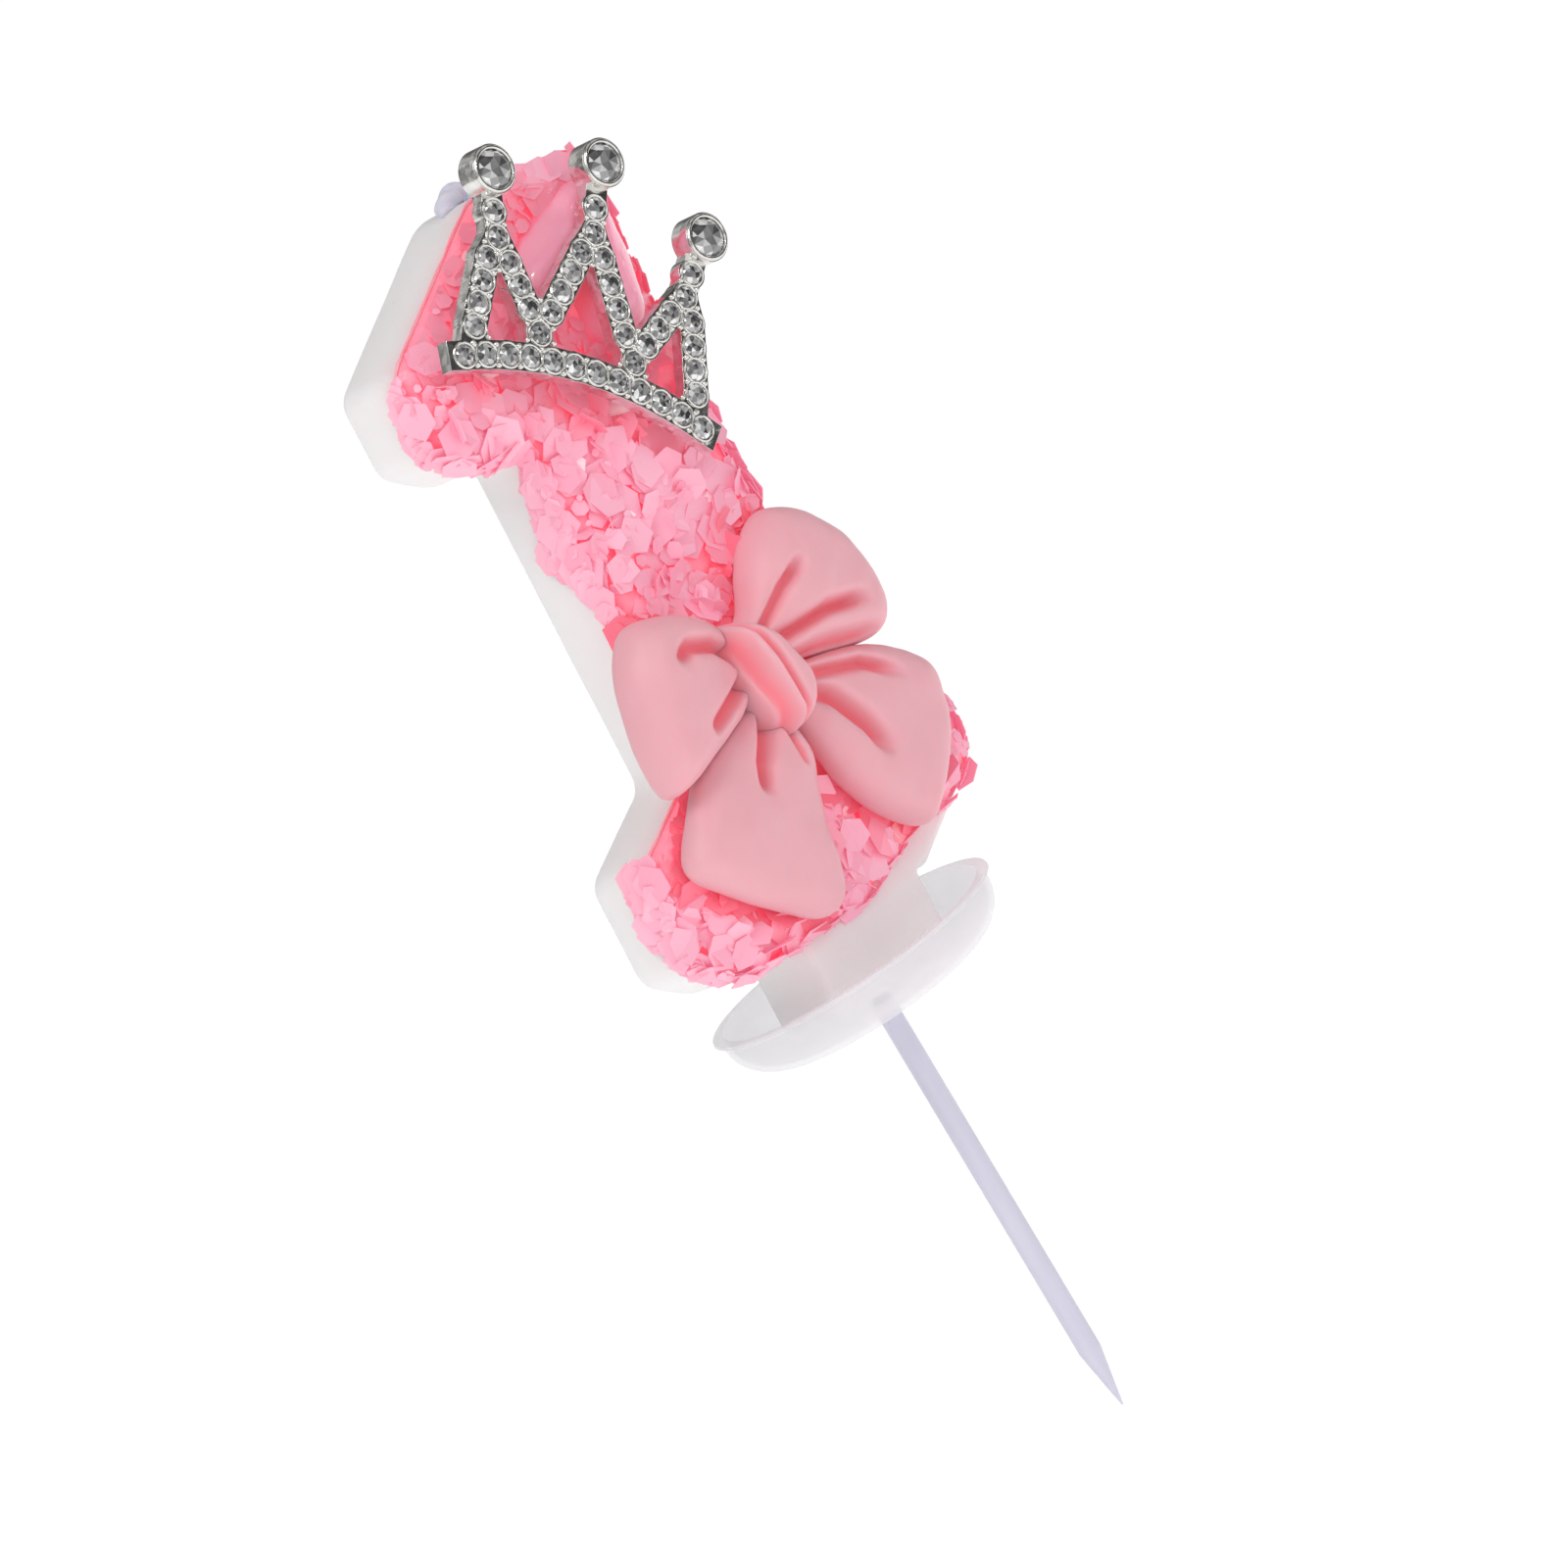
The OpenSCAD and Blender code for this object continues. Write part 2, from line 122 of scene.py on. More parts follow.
def on_face(local, x, z, depth, turn):
    """Local points (across, up, out) stood on the numeral's face at x, z, turned clockwise and leaned."""
    across, up, out = np.moveaxis(local, -1, 0)
    c, s = np.cos(turn), np.sin(turn)
    return leaned(np.stack([x + across * c + up * s, -(depth + out), z - across * s + up * c], -1))


def in_plan(places, x, z, turn):
    """The reverse: places (x, z) on the face as local ones (across, up)."""
    c, s = np.cos(turn), np.sin(turn)
    dx, dz = places[:, 0] - x, places[:, 1] - z
    return np.stack([dx * c - dz * s, dx * s + dz * c], -1)


def on_crown(local):
    """Local points (across, up, out) stood on the back plane of the crown."""
    return on_face(local, CROWN_X, CROWN_Z, CROWN_BACK, CROWN_TURN)


def in_dish(points):
    """Tilts points with the dish, its right side up, and lifts them clear of the stake's shoulder."""
    x, y, z = np.moveaxis(points, -1, 0)
    c, s = np.cos(DISH_TILT), np.sin(DISH_TILT)
    return np.stack([x * c - z * s, y, x * s + z * c + DISH_LIFT], -1)


# ---- curves and surfaces ----


def unit(vectors):
    """Vectors scaled to a length of 1."""
    return vectors / np.maximum(np.linalg.norm(vectors, axis=-1, keepdims=True), 1e-12)


def spaced(path, count, closed=True):
    """The same path with count points at even steps along its length."""
    path = np.vstack([path, path[:1]]) if closed else path
    run = np.concatenate([[0], np.cumsum(np.linalg.norm(np.diff(path, axis=0), axis=1))])
    at = np.linspace(0, run[-1], count, endpoint=not closed)
    return np.stack([np.interp(at, run, column) for column in path.T], -1)


def closed_curve(knots, count):
    """A Catmull-Rom curve round through the knots, evenly spaced."""
    b = np.asarray(knots, float)
    a, c, d = np.roll(b, 1, 0), np.roll(b, -1, 0), np.roll(b, -2, 0)
    t = np.linspace(0, 1, 16, endpoint=False)[:, None, None]
    fine = 0.5 * (2 * b + (c - a) * t + (2 * a - 5 * b + 4 * c - d) * t**2 + (3 * b - a - 3 * c + d) * t**3)
    return spaced(fine.transpose(1, 0, 2).reshape(-1, b.shape[1]), count)


def rounded(corners, cut, steps=7):
    """Each corner becomes a curve from cut mm before it to cut mm after it, with the corner as its handle."""
    p = np.asarray(corners, float)
    cut = np.broadcast_to(np.asarray(cut, float), len(p))[:, None, None]
    before, after = unit(np.roll(p, 1, 0) - p)[:, None], unit(np.roll(p, -1, 0) - p)[:, None]
    t = np.linspace(0, 1, steps)[None, :, None]
    return (p[:, None] + cut * ((1 - t) ** 2 * before + t**2 * after)).reshape(-1, 2)


def outward(outline):
    """Outward normals of a closed outline in the plane."""
    along = unit(np.roll(outline, -1, 0) - np.roll(outline, 1, 0))
    normal = np.stack([along[:, 1], -along[:, 0]], -1)
    x, y = outline.T
    area = np.sum(x * np.roll(y, -1) - np.roll(x, -1) * y)
    return normal * np.sign(area)


def waves(points, size, seed, octaves=3):
    """Smooth unevenness from -1 to 1: sines in random directions, each octave half the size of the last."""
    rng = np.random.default_rng(seed)
    total = np.zeros(points.shape[:-1])
    for octave in range(octaves):
        turns = unit(rng.normal(size=(5, points.shape[-1]))) * (2 * np.pi * 2**octave / size)
        total += np.sin(points @ turns.T + rng.uniform(0, 7, 5)).sum(-1) * 0.6**octave
    return total / 5


def skin(rings, cap_first=True, cap_last=True):
    """Faces between closed rings of points (ring, round, xyz), with a many-sided face on each end."""
    n, m = rings.shape[:2]
    i, j = np.meshgrid(np.arange(n - 1), np.arange(m), indexing="ij")
    a, b = i * m + j, i * m + (j + 1) % m
    faces = np.stack([a, b, b + m, a + m], -1).reshape(-1, 4).tolist()
    if cap_first:
        faces.append(np.arange(m)[::-1].tolist())
    if cap_last:
        faces.append((np.arange(m) + (n - 1) * m).tolist())
    return rings.reshape(-1, 3), faces


def volume(points, faces):
    """Volume inside a closed skin, from the fan of triangles of each face."""
    fans = np.array([[f[0], f[k], f[k + 1]] for f in faces for k in range(1, len(f) - 1)])
    a, b, c = (points[fans[:, k]] for k in range(3))
    return np.einsum("ij,ij->i", a, np.cross(b, c)).sum() / 6


def together(shells):
    """Several skins as one list of points and faces."""
    points, faces, count = [], [], 0
    for p, f in shells:
        if volume(p, f) < 0:
            f = [face[::-1] for face in f]
        points.append(p)
        faces += [[v + count for v in face] for face in f]
        count += len(p)
    return np.concatenate(points), faces


def repeated(points, faces, places):
    """One skin at many places: places is an array (place, point, xyz) of its moved points."""
    n, m = places.shape[:2]
    if volume(places[0], faces) < 0:
        faces = [face[::-1] for face in faces]
    every = [[v + k * m for v in face] for k in range(n) for face in faces]
    return places.reshape(-1, 3), every


def link(name, data):
    """Puts a mesh, light or camera in the scene."""
    thing = bpy.data.objects.new(name, data)
    bpy.context.scene.collection.objects.link(thing)
    return thing


def make(name, points, faces, slot, nodes, finish, sharp=35.0, attributes=None):
    """Makes a piece from points in mm, with its finish and its CAD nodes; its slot is not used."""
    mesh = bpy.data.meshes.new(name)
    mesh.from_pydata((np.asarray(points) * MM).tolist(), [], faces)
    mesh.polygons.foreach_set("use_smooth", np.ones(len(mesh.polygons), bool))
    mesh.set_sharp_from_angle(angle=np.radians(sharp))
    for key, values in (attributes or {}).items():
        values = np.asarray(values, np.float32).ravel()
        domain = "POINT" if len(values) == len(mesh.vertices) else "FACE"
        mesh.attributes.new(key, "FLOAT", domain).data.foreach_set("value", values)
    mesh.materials.append(finish.material)
    mesh.validate()
    mesh.update()
    piece = link(name, mesh)
    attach(piece, "root")
    if nodes:
        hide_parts(*nodes)


# ---- finishes ----


def operator(operation, swapped=False):
    """A method that adds a Math node on a wire and another wire or number."""

    def method(self, other):
        return self.maths(operation, *((other, self) if swapped else (self, other)))

    return method


class Wire:
    """A socket of a node tree; arithmetic on it adds Math nodes."""

    def __init__(self, tree, socket):
        self.tree, self.socket = tree, socket

    def maths(self, operation, *values):
        """A Math node on sockets or numbers."""
        node = self.tree.nodes.new("ShaderNodeMath")
        node.operation = operation
        for place, value in zip(node.inputs, values):
            if isinstance(value, Wire):
                self.tree.links.new(value.socket, place)
            else:
                place.default_value = float(value)
        return Wire(self.tree, node.outputs[0])

    __add__ = __radd__ = operator("ADD")
    __sub__, __rsub__ = operator("SUBTRACT"), operator("SUBTRACT", swapped=True)
    __mul__ = __rmul__ = operator("MULTIPLY")
    __truediv__, __pow__ = operator("DIVIDE"), operator("POWER")
    __gt__, __lt__ = operator("GREATER_THAN"), operator("LESS_THAN")

    def clamp(self):
        """The same value held between 0 and 1."""
        wire = self + 0.0
        wire.socket.node.use_clamp = True
        return wire


class Nodes:
    """A node tree and the one way nodes are added to it."""

    def __init__(self, tree):
        self.tree = tree

    def node(self, kind, settings=None, inputs=None, output=0):
        """Adds a node: its settings first, then the values or links of its sockets."""
        node = self.tree.nodes.new("ShaderNode" + kind)
        for key, value in (settings or {}).items():
            setattr(node, key, value)
        for key, value in (inputs or {}).items():
            if isinstance(value, Wire):
                self.tree.links.new(value.socket, node.inputs[key])
            else:
                node.inputs[key].default_value = value
        return Wire(self.tree, node.outputs[output])


class Finish(Nodes):
    """A procedural finish round one Principled shader."""

    def __init__(self, name, **constants):
        self.material = bpy.data.materials.new(name)
        self.material.use_nodes = True
        super().__init__(self.material.node_tree)
        self.shader = self.tree.nodes["Principled BSDF"]
        for key, value in constants.items():
            socket = key.replace("_", " ").title().replace("Ior", "IOR")
            self.shader.inputs[socket].default_value = value

    def place(self):
        """The Object coordinates."""
        return self.node("TexCoord", output="Object")

    def noise(self, size, detail=2.0, place=None):
        """Noise whose lumps are about size mm across."""
        return self.node("TexNoise", None, {
            "Vector": place or self.place(), "Scale": 1 / (size * MM), "Detail": detail})

    def mix(self, factor, first, second):
        """A colour from first to second by factor."""
        first, second = (c if isinstance(c, Wire) else (*c, 1.0) for c in (first, second))
        return self.node("Mix", {"data_type": "RGBA"}, {0: factor, 6: first, 7: second}, 2)

    def stretch(self, factor, low, high):
        """0 where factor is under low and 1 where it is over high."""
        return ((factor - low) / (high - low)).clamp()

    def bump(self, height, distance):
        """Raises the surface by distance mm where height is 1."""
        self.give("Normal", self.node("Bump", None, {
            "Strength": 1.0, "Distance": distance * MM, "Height": height}))

    def attribute(self, name):
        """The piece's own value of this name."""
        return self.node("Attribute", {"attribute_name": name}, None, "Fac")

    def give(self, socket, wire):
        """Feeds a socket of the shader."""
        self.tree.links.new(wire.socket, self.shader.inputs[socket])


def soft(weight, scale, radius=None):
    """Light that sinks in: how much, how deep in metres, and how far each of red, green and blue goes."""
    values = {"subsurface_weight": weight, "subsurface_scale": scale}
    return {**values, "subsurface_radius": radius} if radius else values


def sparkle(finish, size, share):
    """Round specks size mm across, in a share of the cells of a cellular pattern."""
    grid = {"Vector": finish.place(), "Scale": 1 / (3.2 * size * MM)}
    cells = finish.node("TexVoronoi", None, grid, "Distance")
    pick = Wire(finish.tree, cells.socket.node.outputs["Color"])
    chosen = finish.node("SeparateColor", None, {"Color": pick}, 0) > 1 - share
    return (cells < 0.16) * chosen


def wax_finish():
    """Frosted wax: pale grey-white, with painted pink light from the flakes bleeding through it towards the
    decorated face, and a fine glitter in it.
    """
    wax = Finish("frosted_wax", specular_ior_level=0.4, **soft(0.5, 0.004, (1.0, 0.72, 0.66)))
    depth = wax.node("SeparateXYZ", None, {"Vector": wax.place()}, 1)
    height = wax.node("SeparateXYZ", None, {"Vector": wax.place()}, 2)
    forward = wax.stretch(depth * (-1 / MM), 0.0, 4.4) ** 1.6
    # Painted pink light bleeding through the wax from the flakes: strongest at the decorated face, none on
    # the neck
    painted_flake_bleed = forward * wax.stretch(height * (1 / MM), FOOT_Z - 1.0, FOOT_Z + 1.5) * 0.8
    cloud = wax.noise(9.0, 3.0)
    base = wax.mix(cloud, (0.88, 0.85, 0.85), (0.94, 0.91, 0.91))
    base = wax.mix(painted_flake_bleed, base, (0.93, 0.70, 0.73))
    specks = sparkle(wax, 0.16, 0.10)
    wax.give("Base Color", wax.mix(specks, base, (1.0, 0.97, 0.96)))
    wax.give("Roughness", 0.46 - specks * 0.3)
    wax.bump(wax.noise(0.5, 3.0) + specks * 0.8, 0.05)
    return wax


def film_finish(name, pale, deep, painted_glow, roughness):
    """Satin film: each flake takes its own tint, with a faint painted pink glow that lifts its shade, and
    painted deep coral shade and glow close under the bow and the crown.
    """
    film = Finish(name, roughness=roughness, specular_ior_level=0.45, emission_strength=0.2)
    tint = film.attribute("tint")
    shade = film.attribute("painted_shade")
    own = film.mix(tint * 0.9 + film.noise(0.8) * 0.1, deep, pale)
    # Painted shade: deep coral under the bow and the crown
    film.give("Base Color", film.mix(shade, own, (0.86, 0.09, 0.15)))
    film.bump(film.noise(0.35), 0.01)
    # Painted glow, deeper coral where the painted shade is
    film.give("Emission Color", film.mix(shade, painted_glow, (0.9, 0.06, 0.10)))
    return film


def bed_finish():
    """Glue between and under the flakes: deep pink, partly its own colour and partly painted shade between
    the flakes, with a painted coral glow.
    """
    bed = Finish("flake_glue", roughness=0.3, emission_strength=0.3, **soft(0.3, 0.0015, (1.0, 0.4, 0.4)))
    fade = bed.attribute("fade")
    # The deep pink under the flakes is partly the glue's own colour and partly painted shade between the
    # flakes
    under = bed.mix(bed.noise(1.2, 4.0), (0.93, 0.24, 0.33), (0.96, 0.44, 0.55))
    edge = bed.stretch(fade + bed.noise(1.6, 3.0) * 0.8, 0.55, 1.25)
    bed.give("Base Color", bed.mix(edge, under, (0.83, 0.72, 0.73)))
    # Painted coral glow for light bounced between the flakes, none at the glue's run-back edge
    bed.give("Emission Color", bed.mix(edge, (1.0, 0.07, 0.13), (0.0, 0.0, 0.0)))
    bed.bump(bed.noise(0.7, 4.0), 0.15)
    return bed


def bow_finish():
    """Matte cast resin, dusty pink on the crowns of the folds, with painted coral shade and a painted coral
    glow in the creases.
    """
    resin = Finish("bow_resin", roughness=0.42, specular_ior_level=0.4, emission_strength=0.12,
                   **soft(0.5, 0.002, (1.0, 0.35, 0.3)))
    crease = resin.attribute("crease")
    skin_colour = resin.mix(resin.noise(5.0, 3.0), (0.83, 0.42, 0.475), (0.86, 0.46, 0.515))
    # Painted shade and painted coral glow in the creases
    painted_crease_shade = (crease ** 1.5).clamp() * 0.85
    resin.give("Base Color", resin.mix(painted_crease_shade, skin_colour, (0.88, 0.23, 0.28)))
    resin.give("Emission Color", resin.mix(painted_crease_shade, (0.0, 0.0, 0.0), (0.8, 0.12, 0.16)))
    resin.bump(resin.noise(0.25, 2.0), 0.006)
    return resin


def heart_finish():
    """Polished translucent resin, with painted shade in its groove and a faint painted pink glow all over."""
    # The pink emission is a painted glow all over
    resin = Finish("heart_resin", roughness=0.14, coat_weight=0.6, coat_roughness=0.05,
                   emission_color=(1.0, 0.18, 0.30, 1.0), emission_strength=0.16,
                   **soft(0.5, 0.003, (1.0, 0.35, 0.35)))
    groove = resin.attribute("crease")
    skin_colour = resin.mix(resin.noise(4.0), (0.90, 0.36, 0.48), (0.95, 0.46, 0.60))
    # Painted shade in the groove
    resin.give("Base Color", resin.mix(groove.clamp(), skin_colour, (0.85, 0.16, 0.18)))
    return resin


def silver_finish():
    """Bright silver plating over a cast surface, a little warm and worn."""
    metal = Finish("silver_plating", metallic=1.0)
    worn = metal.noise(0.9, 4.0)
    metal.give("Base Color", metal.mix(worn, (0.60, 0.59, 0.56), (0.92, 0.91, 0.88)))
    metal.give("Roughness", 0.08 + worn * 0.18)
    metal.bump(metal.noise(0.3, 3.0) * 0.1 + metal.noise(1.6, 1.0), 0.14)
    return metal


def stone_finish():
    """Cut glass backed with foil, with painted reflections: each facet is painted its own shade from near
    black to white.
    """
    glass = Finish("foiled_glass", roughness=0.1, metallic=0.55, ior=1.6,
                   coat_weight=1.0, coat_roughness=0.02)
    # Painted reflections: each facet painted from near black to white
    flash = glass.attribute("flash") * 0.9 + glass.noise(0.3) * 0.1
    glass.give("Base Color", glass.mix(flash, (0.025, 0.025, 0.027), (1.0, 1.0, 1.0)))
    return glass


def dish_finish():
    """Thin frosted clear plastic."""
    plastic = Finish("clear_plastic", roughness=0.35, ior=1.45, specular_ior_level=0.5)
    plastic.give("Base Color", plastic.mix(plastic.noise(6.0), (0.88, 0.87, 0.90), (0.93, 0.92, 0.95)))
    plastic.give("Alpha", 0.38 + plastic.noise(9.0, 2.0) * 0.1)
    plastic.bump(plastic.noise(3.0), 0.04)
    return plastic


def stake_finish():
    """Moulded lavender-white plastic with faint streaks along its length."""
    plastic = Finish("stake_plastic", roughness=0.38, **soft(0.2, 0.001, (1.0, 0.9, 1.0)))
    along = plastic.node("Mapping", None, {"Vector": plastic.place(), "Scale": (1.0, 1.0, 0.12)})
    streaks = plastic.noise(0.8, 3.0, along)
    plastic.give("Base Color", plastic.mix(streaks, (0.64, 0.63, 0.75), (0.71, 0.70, 0.81)))
    plastic.bump(streaks, 0.03)
    return plastic


def wick_finish():
    """Waxed cotton, bluish white."""
    cotton = Finish("waxed_cotton", roughness=0.6, **soft(0.4, 0.001))
    cotton.give("Base Color", cotton.mix(cotton.noise(0.5, 3.0), (0.62, 0.63, 0.74), (0.74, 0.74, 0.83)))
    cotton.bump(cotton.noise(0.2, 3.0), 0.05)
    return cotton


def glue_finish():
    """Set clear glue."""
    glue = Finish("clear_glue", roughness=0.15, **soft(0.5, 0.002))
    glue.give("Base Color", glue.mix(glue.noise(1.0), (0.86, 0.55, 0.6), (0.9, 0.72, 0.75)))
    glue.bump(glue.noise(0.8), 0.05)
    return glue


# ---- wax numeral ----


def make_numeral(finish):
    """The numeral and its neck: rings of one outline with curved corners, drawn in towards each face by a
    quarter circle, a little uneven, and leaned."""
    corners = np.vstack([slab_corners, neck_corners])
    # The corners beside the neck and under it are tighter
    cut = np.full(len(corners), EDGE_CUT)
    cut[[13, 14, 17]] = 0.4
    cut[[15, 16]] = 1.0
    outline = spaced(rounded(corners, cut), 640)
    a, radius, uneven = np.linspace(0, np.pi / 2, 5), 0.7, 0.06
    inset, fall = radius * (1 - np.sin(a)), radius * (1 - np.cos(a))
    inset = np.concatenate([inset, inset[::-1]])
    depth = np.concatenate([fall - HALF_T, HALF_T - fall[::-1]])
    rings = stood(outline[None] - inset[:, None, None] * outward(outline)[None], depth[:, None])
    rings[..., 0] += uneven * waves(rings, 14.0, 5)
    rings[..., 2] += uneven * waves(rings, 14.0, 6)
    make("frosted_numeral", *together([skin(leaned(rings))]), "wax", ["wax_numeral"], finish)


def make_wick(finish):
    """A tube along a path that folds over to the left: a circle whose radius swells and has three twists."""
    path = np.array([[0.4, TOP_Z - 2.0], [0.4, TOP_Z + 0.1], [0.1, TOP_Z + 0.7], [-0.7, TOP_Z + 0.85],
                     [-1.6, TOP_Z + 0.6], [-2.4, TOP_Z + 0.05], [-2.8, TOP_Z - 0.5]])
    path = spaced(path, 60, closed=False)
    along = unit(np.gradient(path, axis=0))
    side = np.stack([-along[:, 1], along[:, 0]], -1)
    t, a = np.meshgrid(np.linspace(0, 1, 60), np.linspace(0, 2 * np.pi, 24, endpoint=False), indexing="ij")
    swell = 0.75 + 0.28 * np.sin(np.pi * np.clip(t * 1.5 - 0.35, 0, 1)) + 0.1 * np.cos(3 * (a - 9 * t))
    swell *= np.clip((1 - t) * 9, 0.05, 1) ** 0.5
    plan = path[:, None] + side[:, None] * (swell * np.cos(a))[..., None]
    rings = stood(plan, 0.2 + swell * np.sin(a))
    make("folded_wick", *together([skin(leaned(rings))]), "wick", ["wick"], finish)


# ---- glue bed and flakes ----


def edge_gap(points, corners):
    """How far each point lies within a closed outline, negative outside, and its nearest side's number."""
    a, b = corners, np.roll(corners, -1, 0)
    side = b - a
    t = np.clip(np.einsum("pek,ek->pe", points[:, None] - a, side) / np.einsum("ek,ek->e", side, side), 0, 1)
    away = np.linalg.norm(points[:, None] - (a + t[..., None] * side), axis=-1)
    x, z = points.T
    crosses = (a[:, 1] > z[:, None]) != (b[:, 1] > z[:, None])
    reach = a[:, 0] + (z[:, None] - a[:, 1]) * side[:, 0] / np.where(side[:, 1] == 0, 1e-9, side[:, 1])
    within = (crosses & (x[:, None] < reach)).sum(1) % 2 == 1
    return np.where(within, 1, -1) * away.min(1), away.argmin(1)


def bed_depth(gap, plan):
    """Depth of the flake bed: it rounds off over its outer 2 mm and swells in lumps."""
    roll = np.clip(gap / 2.2, 0, 1)
    return COAT_FACE - 1.5 * (1 - np.sqrt(1 - (1 - roll) ** 2)) + 0.4 * waves(plan, 9.0, 3) * roll


# How far back the glue has run on the left sides, at heights over the foot
RUN_HEIGHTS = FOOT_Z + np.array(
    [0, 3, 6, 10, 12.5, 17.5, 22, 28, 32.3, 34.8, 37.2, 39.3, 42.8, 46, 48, 52, 56])
RUN_DOWN = np.array([2.2, 2.6, 4.3, 3.9, 2.8, 2.2, 1.5, 1.0, 1.5, 3.0, 5.2, 3.8, 2.4, 1.8, 2.0, 2.6, 1.0])


def run_back(plan, normal):
    """How far back the glue has run: by height on the left sides, evenly on the right, hardly on top."""
    left = np.interp(plan[:, 1], RUN_HEIGHTS, RUN_DOWN)
    other = 1.5 + 0.7 * waves(plan, 8.0, 9)
    west = np.clip(-normal[:, 0] * 2 - 0.4, 0, 1)
    top = np.clip(normal[:, 1] * 3 - 0.6, 0, 1)
    sides = left * west + other * (1 - west)
    return np.maximum(sides * (1 - top) + (0.1 + 0.1 * waves(plan, 5.0, 10)) * top, 0.05)


def make_bed(finish):
    """The glue: rows across the numeral's front, each a straight run between its two sides, raised by the
    bed's depth; then rings from the outline out and back down the sides, and a flat face within the wax."""
    ring = spaced(rounded(coat_corners, EDGE_CUT), 900)
    low, high = ring[:, 1].min() + 0.01, ring[:, 1].max() - 0.01
    levels = np.sort(np.concatenate([np.linspace(low, high, 170), FLAG_Z + np.array([-0.3, 0.02])]))
    a, b = ring, np.roll(ring, -1, 0)
    span = (a[:, 1] > levels[:, None]) != (b[:, 1] > levels[:, None])
    rise = np.where(b[:, 1] == a[:, 1], 1e-9, b[:, 1] - a[:, 1])
    cross = a[:, 0] + (levels[:, None] - a[:, 1]) * (b[:, 0] - a[:, 0]) / rise
    west, east = np.where(span, cross, 99).min(1), np.where(span, cross, -99).max(1)
    across = np.linspace(0, 1, 46)
    run = west[:, None] + (east - west)[:, None] * across
    plan = np.stack([run, np.repeat(levels[:, None], len(across), 1)], -1)
    flat = plan.reshape(-1, 2)
    gap = np.clip(edge_gap(flat, ring[::6])[0], 0, None)
    front = stood(flat, bed_depth(gap, flat))
    rows, cols = plan.shape[:2]
    i, j = np.meshgrid(np.arange(rows - 1), np.arange(cols - 1), indexing="ij")
    k = (i * cols + j).ravel()
    faces = np.stack([k, k + 1, k + cols + 1, k + cols], -1).tolist()
    # The grid's border, round from its lower left, and the rings that run back from it
    index = np.arange(rows * cols).reshape(rows, cols)
    border = np.concatenate([index[0, :-1], index[:-1, -1], index[-1, :0:-1], index[:0:-1, 0]])
    edge = flat[border]
    normal = outward(edge)
    back = run_back(edge, normal)
    grow = np.array([0.22, 0.3, 0.24, 0.02])[:, None]
    depth = np.stack([HALF_T - 0.1 * back, HALF_T - 0.55 * back, HALF_T - 0.92 * back, HALF_T - back])
    ragged = edge[None] + (grow * (1 + 0.3 * waves(edge, 4.0, 8)))[..., None] * normal[None]
    rings = np.concatenate([stood(ragged, depth), stood(edge - 0.5 * normal, 1.0)[None]])
    m, start = len(border), len(flat)
    loops = np.concatenate([border[None], start + np.arange(5 * m).reshape(5, m)])
    for near, far in zip(loops[:-1], loops[1:]):
        faces += np.stack([near, far, np.roll(far, -1), np.roll(near, -1)], -1).tolist()
    faces.append(loops[-1].tolist())
    points = np.concatenate([front, rings.reshape(-1, 3)])
    fade = np.concatenate([np.zeros(start), np.repeat([0.0, 0.25, 0.6, 1.0, 1.0], m)])
    make("flake_glue_bed", leaned(points), faces, "glue_coat", ["glue_coat"], finish, 60.0, {"fade": fade})


def heart_outline(count):
    """Right half from the point round its lobe to the notch, then the same half mirrored."""
    half = np.array([[0.0, 0.15], [1.25, -0.75], [2.25, -1.9], [3.35, -3.5], [5.0, -5.7], [6.4, -8.5],
                     [7.3, -11.0], [7.05, -13.1], [5.6, -14.9], [3.6, -15.2], [1.6, -14.0], [0.35, -12.6]])
    return closed_curve(np.vstack([half, half[::-1][:-1] * [-1, 1]]), count)


def flake_plates(centres, normals, radii, rng, thickness=0.07):
    """Thin six-cornered plates, each a little bent about a random diameter: corners at radius r every
    60 degrees, raised by the square of their distance from that diameter."""
    n = len(centres)
    tangent = unit(np.cross(normals, rng.normal(size=(n, 3))))
    other = np.cross(normals, tangent)
    angle = np.arange(6) * np.pi / 3
    stretch = 1 + rng.uniform(-0.12, 0.12, (n, 6))
    across = np.cos(angle)[:, None] * tangent[:, None] + np.sin(angle)[:, None] * other[:, None]
    bend = rng.uniform(-0.28, 0.28, n)[:, None] * np.sin(angle) ** 2 * radii[:, None]
    corners = across * (stretch * radii[:, None])[..., None]
    middle = centres[:, None] + corners + bend[..., None] * normals[:, None]
    half = normals[:, None] * thickness / 2
    places = np.concatenate([middle + half, middle - half], 1)
    faces = [[0, 1, 2, 3], [0, 3, 4, 5], [9, 8, 7, 6], [11, 10, 9, 6]]
    faces += [[k, k + 6, (k + 1) % 6 + 6, (k + 1) % 6] for k in range(6)]
    return repeated(places[0], faces, places)


